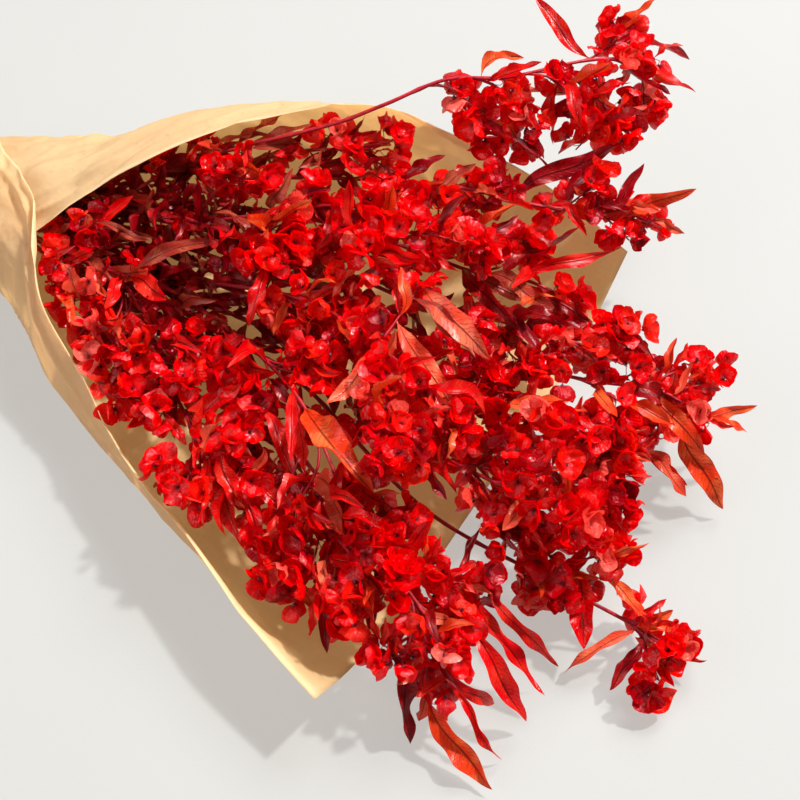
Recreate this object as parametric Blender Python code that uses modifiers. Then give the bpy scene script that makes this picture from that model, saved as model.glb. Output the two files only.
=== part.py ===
"""A bunch of preserved butterfly flower (winged hopbush), lying in its kraft paper wrap.

The bunch lies along X with its flowers at +X. The origin is on the wrap's flat underside, and +Z is up.
Each flowering stem is one object, with its branchlets, leaves and papery seed capsules joined on.
Lists of hand-placed points are in millimetres; everything else is in metres.
"""

import math
import random

import bmesh
import bpy
from mathutils import Matrix, Vector
from mathutils.bvhtree import BVHTree

MM = 0.001

FLOWER_COLOUR = (0.62, 0.01, 0.012)
PAPER_COLOUR = (0.72, 0.52, 0.30)
TWINE_COLOUR = (0.45, 0.32, 0.18)

# The bundle of stems at the tied neck, and how it fans out.
NECK_X = -0.420
NECK_Z = 0.0225
SLOT_PITCH = 0.0039
SLOT_ROW_PITCH = 0.0029
CUT_END_X = -0.478
CUT_END_SPREAD = 0.014
FAN_START_X = -0.395
FAN_SHARES = (0.35, 0.75)
STEM_RADIUS = 0.00175
STEM_TIP_RADIUS = 0.0012
STEM_STEP = 0.085

# The branchlets. One leaves its stem this far before the place nearest to its first cluster: the setback,
# and the lean for each part of the way out.
BRANCH_RADIUS = 0.0010
BRANCH_TIP_RADIUS = 0.0009
BRANCH_OVERRUN = 0.007
BRANCH_LEAN = 1.1
BRANCH_SETBACK = 0.008
BRANCH_AHEAD = 0.4

# The seed capsules, each with papery wings round a small seed body on a fine stalk. A wing's outline is
# given as shares of the radius and of the length.
CAPSULE_RADIUS = 0.0140
CAPSULE_LENGTH = 0.0130
CAPSULE_BODY = 0.0016
CAPSULE_BODY_SHARE = 0.85
WING_OUTLINE = ((0.80, -0.05), (1.05, 0.55), (0.72, 1.20))
WING_TWIST = 0.10
PEDICEL_RADIUS = 0.0005
PEDICEL = (0.006, 0.012)
CAPSULES_PER_HEAD = (2, 1, 1, 1)
CAPSULE_TRIES = 26
CAPSULE_SIZES = (0.86, 1.04)
CAPSULE_SHRINK = 0.008
CAPSULE_ALONG = (-0.008, 0.006)
CAPSULE_AHEAD = (0.2, 1.0)
CAPSULE_TURN = (0.0, 1.2)
FOUR_WINGED_SHARE = 0.15
GOLDEN_TURN = 2.4

# The leaves. A station is a share of the length with half the width there, as a share of the full width.
LEAF_THICKNESS = 0.0010
LEAF_ROOT = 0.0006
LEAF_STATIONS = ((0.0, 0.0), (0.24, 0.40), (0.52, 0.50), (0.80, 0.30))
SMALL_LEAF_STATIONS = ((0.0, 0.0), (0.30, 0.46), (0.68, 0.42))
SMALL_LEAF = 0.0125
LEAF_FOLD = 0.3
LEAF_ROOT_FACES = 10
LEAF_TRIES = 9
LEAF_SHRINK = 0.05
LEAF_TILT_X = (-0.4, 0.4)
LEAF_TILT_Y = (-0.6, 0.2)
LEAF_ARCH = (-0.05, 0.12)
LEAF_TWIST = (-0.7, 0.7)
LEAF_WAVE = (0.03, 0.10)

# Joined faces that turn by less than this are one flat face.
FLAT_ANGLE = math.radians(0.7)

# Free space kept round a leaf or a capsule.
CLEARANCE = 0.0005

# The paper sheet.
PAPER_THICKNESS = 0.0007
PAPER_STEPS = 3
PAPER_COLUMNS = 22
PLEAT_DEPTH = 0.0004
PLEATED_TO_X = -0.39
PLEAT_FADE = 0.02
ROLL_START = 150
ROLL_SWEEP = 480

# The twine round the neck.
TWINE_RADIUS = 0.0014
TWINE_TURNS = 3
TWINE_PITCH = 0.0030
TWINE_LOOP_RADIUS = 0.0205
TWINE_POINTS_PER_TURN = 12
KNOT_RADIUS = 0.0034

# A loose end of the knot: its points as shares of the knot's radius along X and Y, and of the twine's
# radius up.
KNOT_END = ((0.4, 1.0, 1.2), (1.0, 2.8, 1.0), (1.6, 4.7, -1.8))


def spiral(start_radius, end_radius, height):
    """A cross-section of the sheet where it is rolled round the stems, as points (y, z)."""
    points = []
    for i in range(PAPER_COLUMNS):
        share = i / (PAPER_COLUMNS - 1)
        angle = math.radians(ROLL_START - ROLL_SWEEP * share)
        radius = start_radius + (end_radius - start_radius) * share
        points.append((radius * math.cos(angle), height + radius * math.sin(angle)))
    return points


# Cross-sections of the sheet from its free far edge, down the far side, under the bunch, up the near side
# and round to its free near edge: x, then points (y, z).
PAPER_SECTIONS = [
    (-465, spiral(20, 26, 27)),
    (-446, spiral(17, 21, 23.5)),
    (-427, spiral(13.7, 17.6, 22.5)),
    (-413, spiral(13.7, 17.6, 22.5)),
    (-400, spiral(17.5, 22.5, 23.5)),
    (-375, [(-27, 43), (5, 57), (34, 34), (18, 2.5), (-16, 2.5), (-37, 22), (-20, 58), (28, 58)]),
    (-335, [(-44, 50), (0, 67), (53, 44), (28, 1), (-25, 1), (-55, 20), (-42, 62), (3, 78)]),
    (-285, [(-46, 66), (12, 84), (74, 50), (40, 0), (-35, 0), (-70, 16), (-60, 60), (-22, 88)]),
    (-235, [(28, 103), (84, 98), (104, 55), (60, 0), (-50, 0), (-90, 14), (-99, 44), (-80, 78)]),
    (-185, [(93, 113), (126, 99), (124, 46), (75, 0), (-65, 0), (-114, 11), (-121, 36), (-106, 63)]),
    (-120, [(143, 121), (158, 95), (150, 42), (100, 0), (-90, 0), (-134, 9), (-146, 33), (-144, 60)]),
    (-60, [(164, 101), (171, 74), (155, 32), (110, 0), (-105, 0), (-151, 9), (-165, 32), (-166, 60)]),
    (5, [(182, 72), (171, 48), (145, 19), (105, 0), (-115, 0), (-160, 9), (-183, 31), (-193, 60)]),
    (70, [(178, 50), (150, 28), (120, 9), (85, 0), (-110, 0), (-150, 11), (-186, 32), (-213, 55)]),
]

# The flowering stems as they lie in the bunch. A stem's points run from the wrap's narrow end to the tip.
# A branchlet's points are where its capsules cluster. A leaf has its root, its tip and its width.
SPRAYS = {
    "spray_01": {
        "stem": [(-250, 56, 64), (-145, 112, 112), (-110, 143, 127), (-80, 178, 138), (-45, 200, 140),
            (-5, 240, 143), (30, 272, 135)],
        "branches": [[(-60, 180, 120), (-45, 170, 110)], [(-35, 195, 125), (-20, 185, 115)],
            [(-5, 220, 130), (10, 230, 135)], [(20, 225, 120), (10, 200, 110)], [(0, 275, 140)],
            [(30, 255, 130), (35, 245, 120)], [(30, 225, 115)]],
        "leaves": [((-10, 245, 140), (-60, 260, 160), 14), ((-50, 180, 120), (10, 170, 105), 16),
            ((0, 255, 140), (45, 305, 110), 14)],
    },
    "spray_02": {
        "stem": [(-125, 100, 85), (-80, 120, 90), (-35, 135, 95), (20, 155, 90), (65, 190, 85)],
        "branches": [[(-15, 145, 100)], [(-25, 130, 90)], [(25, 155, 90), (35, 185, 95)], [(65, 175, 70)],
            [(80, 190, 75)], [(-45, 110, 100), (-35, 90, 105)]],
        "leaves": [((-5, 145, 95), (40, 210, 110), 18), ((50, 170, 85), (55, 215, 100), 11),
            ((50, 170, 85), (95, 220, 90), 18), ((-50, 115, 95), (-35, 145, 110), 12),
            ((-80, 115, 95), (-60, 145, 105), 12)],
    },
    "spray_03": {
        "stem": [(-125, 65, 80), (-50, 70, 95), (0, 80, 90), (35, 100, 80), (65, 105, 70)],
        "branches": [[(-25, 65, 130), (0, 75, 120)], [(5, 95, 110)], [(20, 125, 85)], [(-30, 40, 120)]],
        "leaves": [((15, 90, 85), (50, 140, 100), 20), ((25, 100, 80), (70, 150, 80), 12),
            ((0, 80, 90), (40, 85, 80), 14), ((40, 95, 80), (85, 95, 75), 14),
            ((30, 90, 80), (70, 80, 75), 14)],
    },
    "spray_04": {
        "stem": [(-195, 80, 75), (-155, 110, 85), (-110, 130, 95)],
        "branches": [[(-135, 130, 100)], [(-100, 140, 100)], [(-95, 125, 90)]],
        "leaves": [((-160, 120, 95), (-180, 85, 95), 12), ((-150, 110, 90), (-165, 90, 95), 14),
            ((-130, 110, 90), (-145, 90, 95), 9)],
    },
    "spray_05": {
        "stem": [(-255, 15, 60), (-225, 55, 80), (-190, 80, 95)],
        "branches": [[(-230, 55, 85)], [(-175, 60, 95), (-160, 70, 95)], [(-210, 75, 90)]],
        "leaves": [((-205, 80, 90), (-175, 105, 95), 9), ((-190, 80, 95), (-170, 125, 105), 13)],
    },
    "spray_06": {
        "stem": [(-225, 25, 65), (-160, 20, 90), (-120, 20, 105)],
        "branches": [[(-115, 5, 105)], [(-115, 40, 110)], [(-100, 25, 105)]],
        "leaves": [((-130, 30, 105), (-170, 25, 100), 10), ((-110, 0, 105), (-100, -35, 90), 14)],
    },
    "spray_07": {
        "stem": [(-200, 25, 65), (-140, 50, 90), (-90, 70, 110), (-40, 60, 130)],
        "branches": [[(-115, 75, 100)], [(-70, 50, 115), (-45, 35, 125)], [(-65, 80, 120)],
            [(-90, 45, 100)], [(-15, 50, 125)]],
        "leaves": [((-70, 40, 115), (-35, 50, 120), 10), ((-125, 60, 100), (-135, 35, 100), 9)],
    },
    "spray_08": {
        "stem": [(-165, -5, 60), (-90, 0, 90), (-30, -10, 110), (30, -35, 130)],
        "branches": [[(-70, 15, 95)], [(-30, -20, 105)], [(-10, -15, 120), (-10, 25, 125)],
            [(10, -45, 125), (30, -65, 125)], [(50, -40, 130), (60, -60, 120)],
            [(55, -70, 120), (35, -80, 120)]],
        "leaves": [((-10, 0, 130), (60, -40, 130), 18), ((-5, 30, 125), (55, 10, 120), 22),
            ((15, 20, 120), (45, 5, 115), 14), ((-5, -25, 120), (-10, -75, 120), 14)],
    },
    "spray_09": {
        "stem": [(-180, -20, 55), (-105, -40, 80), (-35, -70, 100), (25, -110, 90)],
        "branches": [[(-40, -40, 100)], [(30, -120, 85), (50, -125, 85)], [(-50, -50, 95)],
            [(0, -130, 80), (20, -135, 80)], [(-60, -75, 90)]],
        "leaves": [((-30, -70, 105), (40, -105, 110), 24), ((-10, -110, 100), (25, -115, 100), 20),
            ((-45, -65, 100), (-15, -110, 100), 11), ((-35, -70, 100), (-5, -110, 100), 13),
            ((-30, -65, 100), (10, -75, 100), 12), ((0, -125, 95), (35, -130, 90), 12),
            ((-75, -110, 85), (-15, -110, 80), 14), ((-50, -125, 80), (-5, -125, 75), 14),
            ((-40, -135, 75), (10, -155, 60), 22)],
    },
    "spray_10": {
        "stem": [(-120, 50, 60), (-20, 45, 80), (40, 60, 85), (105, 70, 90)],
        "branches": [[(85, 65, 95)], [(85, 45, 90)], [(110, 90, 95)], [(115, 55, 90)],
            [(60, 35, 90), (75, 50, 95)]],
        "leaves": [((40, 35, 90), (60, 50, 90), 12), ((50, 60, 85), (80, 75, 90), 18)],
    },
    "spray_11": {
        "stem": [(-95, 35, 50), (15, 40, 60), (100, 50, 80), (145, 75, 70), (180, 80, 55)],
        "branches": [[(145, 90, 70), (155, 105, 65)], [(170, 105, 60)], [(160, 75, 60)], [(130, 45, 85)],
            [(130, 75, 85)]],
        "leaves": [((125, 60, 80), (155, 70, 70), 20), ((105, 20, 100), (140, 25, 100), 12),
            ((135, 40, 85), (165, 50, 80), 14), ((170, 90, 55), (200, 115, 45), 11),
            ((145, 55, 65), (190, 60, 50), 18), ((180, 70, 50), (205, 95, 40), 9),
            ((175, 60, 50), (215, 55, 10), 22)],
    },
    "spray_12": {
        "stem": [(-75, 25, 45), (40, 10, 60), (115, 10, 80), (155, 35, 60)],
        "branches": [[(105, 5, 100), (125, 5, 95)], [(135, 10, 80), (150, 10, 55)], [(155, 45, 60)],
            [(65, 5, 90)], [(135, 25, 85)]],
        "leaves": [((155, 30, 40), (190, 35, 30), 16), ((165, 35, 45), (185, 45, 30), 10),
            ((50, 5, 90), (75, 10, 90), 12)],
    },
    "spray_13": {
        "stem": [(-80, -5, 40), (35, -40, 70), (95, -50, 90), (135, -45, 90)],
        "branches": [[(115, -45, 105), (125, -25, 105)], [(90, -35, 100)],
            [(150, -20, 70), (160, -10, 55)], [(145, -50, 85)], [(100, -60, 80), (115, -70, 70)],
            [(135, -60, 60)]],
        "leaves": [((120, -15, 105), (140, -40, 90), 10), ((120, -55, 95), (115, -75, 85), 14),
            ((75, -40, 90), (75, -65, 85), 12)],
    },
    "spray_14": {
        "stem": [(-70, -25, 35), (50, -65, 40), (145, -70, 46), (205, -60, 25), (230, -65, 15)],
        "branches": [[(165, -45, 55), (175, -35, 50)], [(145, -75, 35)], [(170, -55, 45)],
            [(235, -55, 15)], [(230, -85, 10)], [(220, -60, 25)]],
        "leaves": [((155, -55, 55), (185, -90, 25), 22), ((205, -70, 25), (180, -105, 10), 13),
            ((180, -45, 40), (210, -55, 30), 12), ((205, -75, 20), (210, -100, 10), 12),
            ((210, -55, 25), (220, -40, 30), 11)],
    },
    "spray_15": {
        "stem": [(-110, -47, 37), (0, -95, 60), (85, -135, 75), (120, -150, 60)],
        "branches": [[(85, -115, 80)], [(100, -165, 55), (90, -160, 60)], [(130, -160, 40)],
            [(120, -130, 60)], [(120, -170, 35)], [(115, -105, 65)]],
        "leaves": [((120, -170, 30), (180, -190, 5), 20), ((115, -115, 60), (175, -125, 15), 14),
            ((120, -105, 60), (175, -105, 20), 12), ((120, -125, 55), (175, -145, 10), 18),
            ((125, -140, 45), (155, -145, 15), 13), ((135, -140, 35), (175, -175, 5), 8),
            ((80, -165, 55), (120, -195, 5), 16), ((105, -180, 40), (120, -180, 15), 12),
            ((90, -95, 70), (95, -70, 65), 7)],
    },
    "spray_16": {
        "stem": [(-125, -59, 42), (-35, -100, 60), (45, -135, 80), (75, -150, 85)],
        "branches": [[(40, -165, 65), (55, -170, 60)], [(25, -165, 65)], [(80, -140, 90)],
            [(65, -160, 80)], [(25, -150, 70)], [(70, -110, 90)], [(95, -115, 75)]],
        "leaves": [((55, -155, 60), (75, -195, 10), 15), ((65, -140, 85), (85, -165, 60), 10),
            ((30, -140, 80), (50, -135, 75), 14), ((100, -100, 60), (105, -90, 60), 7)],
    },
    "spray_17": {
        "stem": [(-205, -35, 40), (-130, -85, 60), (-70, -125, 80)],
        "branches": [[(-75, -145, 70), (-90, -140, 70)], [(-60, -145, 70)], [(-50, -135, 75)],
            [(-65, -120, 85)], [(-115, -110, 75)], [(-60, -95, 80)]],
        "leaves": [((-105, -100, 85), (-75, -75, 95), 18), ((-120, -110, 75), (-90, -120, 70), 10),
            ((-70, -130, 70), (-20, -160, 60), 14)],
    },
    "spray_18": {
        "stem": [(-225, -25, 50), (-165, -55, 70), (-115, -70, 90)],
        "branches": [[(-115, -90, 90)], [(-180, -80, 75), (-160, -75, 75)],
            [(-170, -110, 60), (-140, -105, 70)], [(-85, -70, 90)]],
        "leaves": [((-115, -60, 90), (-60, -60, 95), 26), ((-160, -105, 65), (-150, -115, 40), 11),
            ((-170, -50, 85), (-135, -55, 85), 10)],
    },
    "spray_19": {
        "stem": [(-305, -25, 42), (-250, -35, 58), (-200, -35, 72)],
        "branches": [[(-245, -50, 75)], [(-240, -20, 85)], [(-275, -35, 60)], [(-220, -55, 70)]],
        "leaves": [((-235, -60, 75), (-220, -65, 65), 16), ((-205, -30, 85), (-190, -70, 80), 12),
            ((-195, -25, 90), (-160, -45, 85), 20), ((-240, -10, 85), (-195, -15, 90), 8),
            ((-195, -10, 90), (-150, 10, 95), 13)],
    },
    "spray_20": {
        "stem": [(-140, 15, 30), (-20, -10, 35), (80, -10, 35), (140, 0, 30)],
        "branches": [[(0, -15, 50), (25, -20, 52)], [(55, -10, 60)], [(95, 5, 50)], [(135, 25, 35)],
            [(-10, -40, 60)]],
        "leaves": [((40, -10, 60), (75, -10, 65), 14), ((95, -15, 50), (130, -10, 45), 14)],
    },
    "spray_21": {
        "stem": [(-185, -10, 25), (-75, -65, 30), (25, -110, 35), (95, -125, 25)],
        "branches": [[(-35, -62, 56)], [(-60, -95, 55)], [(30, -85, 60), (50, -90, 60)], [(40, -140, 40)],
            [(95, -115, 35)]],
        "leaves": [((-5, -85, 60), (40, -95, 60), 14)],
    },
}


def smooth_line(points, spacing=None, steps=1):
    """A smooth curve through the given points, by a spacing or by a number of steps for each span."""
    ends = [points[0] * 2 - points[1]] + points + [points[-1] * 2 - points[-2]]
    line = [points[0]]
    for before, start, end, after in zip(ends, ends[1:], ends[2:], ends[3:]):
        if spacing:
            steps = max(1, round((end - start).length / spacing))
        for step in range(1, steps + 1):
            line.append(curve_point(before, start, end, after, step / steps))
    return line


def curve_point(before, start, end, after, t):
    """A point of the Catmull-Rom curve from start to end."""
    return 0.5 * (
        2 * start
        + (end - before) * t
        + (2 * before - 5 * start + 4 * end - after) * t * t
        + (3 * start - before - 3 * end + after) * t * t * t
    )


def nearest_on_line(line, point):
    """The nearest point on a line of points, its distance along the line, and the gap to it."""
    best = None
    travelled = 0.0
    for start, end in zip(line, line[1:]):
        along = end - start
        share = min(max((point - start).dot(along) / along.length_squared, 0.0), 1.0)
        place = start + along * share
        gap = (point - place).length
        if best is None or gap < best[2]:
            best = (place, travelled + along.length * share, gap)
        travelled += along.length
    return best


def point_at_length(line, length):
    """The point at a distance along a line of points, and the direction there."""
    for start, end in zip(line, line[1:]):
        along = end - start
        if length <= along.length:
            return start + along * (length / along.length), along.normalized()
        length -= along.length
    return line[-1], (line[-1] - line[-2]).normalized()


def bundle_slots(count):
    """The places (y, z) of a closely packed bundle of stems, from the middle outwards."""
    reach = range(-4, 5)
    places = [((i + 0.5 * j) * SLOT_PITCH, j * SLOT_ROW_PITCH) for i in reach for j in reach]
    places.sort(key=lambda p: (round(math.hypot(*p) / SLOT_PITCH, 3), math.atan2(p[1], p[0])))
    return places[:count]


def share_slots(headings):
    """A slot for each heading, so that stems which fan out along their headings don't cross."""
    slots = bundle_slots(len(headings))
    order = sorted(range(len(headings)), key=lambda i: headings[i].length)
    given = dict(zip(order, slots))
    swapped = True
    while swapped:
        swapped = False
        for a in range(len(headings)):
            for b in range(a):
                apart = Vector(given[a]) - Vector(given[b])
                if apart.dot(headings[a] - headings[b]) < 0:
                    given[a], given[b] = given[b], given[a]
                    swapped = True
    return [given[i] for i in range(len(headings))]


def stem_lines():
    """The middle line of each main stem, from its cut end through the neck to its tip."""
    names = sorted(SPRAYS)
    shown = [[Vector(p) * MM for p in SPRAYS[name]["stem"]] for name in names]
    headings = [Vector((p[0].y, p[0].z - NECK_Z)) / (p[0].x - FAN_START_X) for p in shown]
    lines = {}
    for number, (name, slot) in enumerate(zip(names, share_slots(headings))):
        cut_x = CUT_END_X - CUT_END_SPREAD * (number * 5 % 7) / 7
        neck = [Vector((x, slot[0], NECK_Z + slot[1])) for x in (cut_x, NECK_X, FAN_START_X)]
        fan = [neck[-1].lerp(shown[number][0], share) for share in FAN_SHARES]
        lines[name] = neck[:1] + smooth_line(neck[1:] + fan + shown[number], STEM_STEP)
    return lines


def branch_line(stem, points):
    """A branchlet's middle line: it leaves the stem at a narrow angle and runs through its points."""
    first = points[0]
    _, length, gap = nearest_on_line(stem, first)
    root, heading = point_at_length(stem, length - BRANCH_LEAN * gap - BRANCH_SETBACK)
    ahead = root + heading * (BRANCH_AHEAD * (first - root).length)
    elbow = ahead.lerp(root.lerp(first, 0.5), 0.5)
    overrun = (points[-1] - elbow).normalized() * BRANCH_OVERRUN
    return [root, elbow] + points[:-1] + [points[-1] + overrun]


def capsule_shape(wing_count, pedicel, size):
    """A capsule's points and triangles, its stalk's root at the origin and its axis along +Z."""
    turn = math.tau / wing_count
    points = []
    for height, radius in ((0.0, PEDICEL_RADIUS), (pedicel, CAPSULE_BODY)):
        for i in range(wing_count):
            points.append(Vector((radius * math.cos(i * turn), radius * math.sin(i * turn), height)))
    apex = len(points)
    points.append(Vector((0, 0, pedicel + CAPSULE_BODY_SHARE * CAPSULE_LENGTH)))
    faces = [(2, 1, 0)] if wing_count == 3 else [(2, 1, 0), (3, 2, 0)]
    for i in range(wing_count):
        after = (i + 1) % wing_count
        base, base_after = wing_count + i, wing_count + after
        faces += [(i, after, base_after), (i, base_after, base)]
        outline = []
        for number, (reach, height) in enumerate(WING_OUTLINE):
            angle = (i + 0.5) * turn + WING_TWIST * (number - 1)
            radius = CAPSULE_RADIUS * size * reach
            outline.append(len(points))
            up = pedicel + CAPSULE_LENGTH * size * height
            points.append(Vector((radius * math.cos(angle), radius * math.sin(angle), up)))
        faces.append((base, base_after, outline[0]))
        outline.append(apex)
        for first, second in zip(outline, outline[1:]):
            faces += [(base, first, second), (base_after, second, first)]
    return points, faces


def leaf_shape(length, width, arch, twist, wave):
    """A folded, arched leaf's points and triangles, its root at the origin, along +X and facing +Z."""
    points = []
    stations = SMALL_LEAF_STATIONS if width < SMALL_LEAF else LEAF_STATIONS
    for number, (share, half) in enumerate(stations):
        reach = half * width if number else LEAF_ROOT
        sway = wave * width * (0, 1, -1, 1)[number]
        angle = twist * share
        across = Vector((0, math.cos(angle), math.sin(angle)))
        upward = Vector((0, -math.sin(angle), math.cos(angle)))
        middle = Vector((share * length, 0, 4 * arch * share * (1 - share) * length))
        left = middle + across * reach + upward * (LEAF_FOLD * reach + sway)
        right = middle - across * reach + upward * (LEAF_FOLD * reach - sway)
        thick = upward * (LEAF_THICKNESS / 2)
        points += [left, middle + thick, right, middle - thick]
    points.append(Vector((length, 0, 0)))
    faces = [(0, 2, 1), (0, 3, 2)]
    tip = len(points) - 1
    for start in range(0, tip, 4):
        for side in range(4):
            a, b = start + side, start + (side + 1) % 4
            if start + 4 == tip:
                faces.append((a, b, tip))
            elif side % 2:
                faces += [(a, b, b + 4), (a, b + 4, a + 4)]
            else:
                faces += [(a, b, a + 4), (b, b + 4, a + 4)]
    return points, outward(points, faces)


def outward(points, faces):
    """The faces, turned where needed so that they point out of the closed shape."""
    volume = sum(points[a].dot(points[b].cross(points[c])) for a, b, c in faces)
    return faces if volume > 0 else [tuple(reversed(face)) for face in faces]


def aim(direction, normal):
    """A turn that takes +X to a direction, and +Z as near as it can to a normal."""
    x = direction.normalized()
    y = normal.cross(x).normalized()
    return Matrix((x, y, x.cross(y))).transposed()


class Space:
    """The shapes placed so far, which keeps those of different stems apart."""

    def __init__(self):
        self.shapes = []

    def add(self, carrier, points, faces):
        """Takes up a shape's room. Wood names the stem that carries it, so that leaves can grow there."""
        centre, reach = ball_round(points)
        self.shapes.append((carrier, centre, reach, BVHTree.FromPolygons(points, faces)))

    def is_clear(self, carrier, points, faces, blade_faces):
        """Whether a shape meets nothing, apart from the wood that its root is sunk in."""
        centre, reach = ball_round(points)
        tree = BVHTree.FromPolygons(points, faces)
        blade = BVHTree.FromPolygons(points, blade_faces)
        for wood, other_centre, other_reach, other_tree in self.shapes:
            near = (centre - other_centre).length < reach + other_reach
            if near and (blade if wood == carrier else tree).overlap(other_tree):
                return False
        return True


def ball_round(points):
    centre = sum(points, Vector()) / len(points)
    return centre, max((p - centre).length for p in points)


def swollen(points, faces):
    """A shape's points, moved outwards by the clearance."""
    normals = [Vector() for _ in points]
    for face in faces:
        a, b, c = (points[i] for i in face)
        for index in face:
            normals[index] += (b - a).cross(c - a)
    return [p + n.normalized() * CLEARANCE for p, n in zip(points, normals)]


def place(space, carrier, points, faces, blade_faces):
    """Adds a shape where it is clear of the rest and of the table, and says whether it did."""
    if min(p.z for p in points) < CLEARANCE:
        return False
    if not space.is_clear(carrier, swollen(points, faces), faces, blade_faces):
        return False
    space.add(None, points, faces)
    return True


def add_leaf(space, carrier, skeleton, leaf, draw, pieces):
    """Grows one leaf from the nearest stem or branchlet, at the first turn where it fits."""
    root, tip, width = Vector(leaf[0]) * MM, Vector(leaf[1]) * MM, leaf[2] * MM
    start = min((nearest_on_line(line, root) for line in skeleton), key=lambda found: found[2])[0]
    along = tip - start
    for attempt in range(LEAF_TRIES):
        length = along.length * (1 - LEAF_SHRINK * attempt)
        normal = Vector((draw.uniform(*LEAF_TILT_X), draw.uniform(*LEAF_TILT_Y), 1))
        arch, twist, wave = (draw.uniform(*limits) for limits in (LEAF_ARCH, LEAF_TWIST, LEAF_WAVE))
        shape, faces = leaf_shape(length, width, arch, twist, wave)
        turn = aim(along, normal)
        points = [start + turn @ p for p in shape]
        if place(space, carrier, points, faces, faces[LEAF_ROOT_FACES:]):
            mesh_object(carrier + "_leaf", points, faces, pieces)
            return


def add_capsules(space, carrier, line, head, count, draw, pieces):
    """Sets capsules round a point of a branchlet, each turned until it fits."""
    _, length, _ = nearest_on_line(line, head)
    spin = draw.uniform(0, math.tau)
    for number in range(count):
        for attempt in range(CAPSULE_TRIES):
            root, heading = point_at_length(line, length + draw.uniform(*CAPSULE_ALONG))
            side = aim(heading, Vector((0, 0, 1)))
            angle = spin + number * GOLDEN_TURN + attempt * draw.uniform(*CAPSULE_TURN)
            out = side @ Vector((draw.uniform(*CAPSULE_AHEAD), math.cos(angle), math.sin(angle)))
            wings = 4 if draw.random() < FOUR_WINGED_SHARE else 3
            size = draw.uniform(*CAPSULE_SIZES) - CAPSULE_SHRINK * attempt
            shape, faces = capsule_shape(wings, draw.uniform(*PEDICEL), size)
            turn = aim(out, Vector((0.1, 0.2, 1))) @ Matrix.Rotation(draw.uniform(0, math.tau), 3, "X")
            turn = turn @ Matrix.Rotation(math.pi / 2, 3, "Y")
            points = [root + turn @ p for p in shape]
            if place(space, carrier, points, faces, blade_faces(faces, wings)):
                mesh_object(carrier + "_capsule", points, faces, pieces)
                break


def blade_faces(faces, wings):
    """A capsule's faces without those of its stalk."""
    return [face for face in faces if min(face) >= wings]


def make_sprays(collection, space):
    """Every flowering stem: first all the wood, then the leaves, then the capsules where room is left."""
    stems = stem_lines()
    sprays = []
    for name, stem in stems.items():
        heads = [[Vector(p) * MM for p in points] for points in SPRAYS[name]["branches"]]
        branches = [branch_line(stem, points) for points in heads]
        trunk = tube(name, stem, STEM_RADIUS, STEM_TIP_RADIUS, collection)
        pieces = new_collection(name + "_pieces")
        for line in branches:
            tube(name + "_branchlet", line, BRANCH_RADIUS, BRANCH_TIP_RADIUS, pieces)
        for wood in [trunk] + list(pieces.objects):
            space.add(name, *taken_space(wood))
        sprays.append((trunk, pieces, stem, branches, heads))
    for trunk, pieces, stem, branches, _ in sprays:
        draw = random.Random(trunk.name + " leaves")
        for leaf in SPRAYS[trunk.name]["leaves"]:
            add_leaf(space, trunk.name, [stem] + branches, leaf, draw, pieces)
    for trunk, pieces, stem, branches, heads in sprays:
        draw = random.Random(trunk.name + " capsules")
        sites = [(stem, stem[-1])]
        sites += [(line, head) for line, points in zip(branches, heads) for head in points]
        for number, (line, head) in enumerate(sites):
            count = CAPSULES_PER_HEAD[number % len(CAPSULES_PER_HEAD)]
            add_capsules(space, trunk.name, line, head, count, draw, pieces)
    for trunk, pieces, *_ in sprays:
        join(trunk, pieces)
    return [spray[0] for spray in sprays]


def join(piece, pieces):
    """Makes one body of an object and all the objects of a collection, which is then removed."""
    union = piece.modifiers.new("pieces", "BOOLEAN")
    union.operation = "UNION"
    union.operand_type = "COLLECTION"
    union.collection = pieces
    union.solver = "MANIFOLD"
    apply_modifiers(piece)
    tidy_joined(piece.data)
    for joined in list(pieces.objects):
        bpy.data.objects.remove(joined)
    bpy.data.collections.remove(pieces)


def apply_modifiers(piece):
    bpy.context.view_layer.update()
    shown = piece.evaluated_get(bpy.context.evaluated_depsgraph_get())
    mesh = bpy.data.meshes.new_from_object(shown)
    piece.modifiers.clear()
    piece.data = mesh


def tidy_joined(mesh):
    """Deletes every loose scrap, and the needless points that joining leaves on flat faces."""
    cage = bmesh.new()
    cage.from_mesh(mesh)
    unseen = set(cage.verts)
    bodies = []
    while unseen:
        reached = [unseen.pop()]
        body = set(reached)
        while reached:
            for edge in reached.pop().link_edges:
                for vert in edge.verts:
                    if vert in unseen:
                        unseen.discard(vert)
                        body.add(vert)
                        reached.append(vert)
        bodies.append(body)
    bodies.sort(key=len)
    scraps = [vert for body in bodies[:-1] for vert in body]
    bmesh.ops.delete(cage, geom=scraps, context="VERTS")
    bmesh.ops.dissolve_limit(cage, angle_limit=FLAT_ANGLE, verts=cage.verts, edges=cage.edges)
    bmesh.ops.triangulate(cage, faces=cage.faces)
    cage.to_mesh(mesh)
    cage.free()


def mesh_object(name, points, faces, collection):
    mesh = bpy.data.meshes.new(name)
    mesh.from_pydata([tuple(p) for p in points], [], faces)
    mesh.update()
    piece = bpy.data.objects.new(name, mesh)
    collection.objects.link(piece)
    return piece


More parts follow.
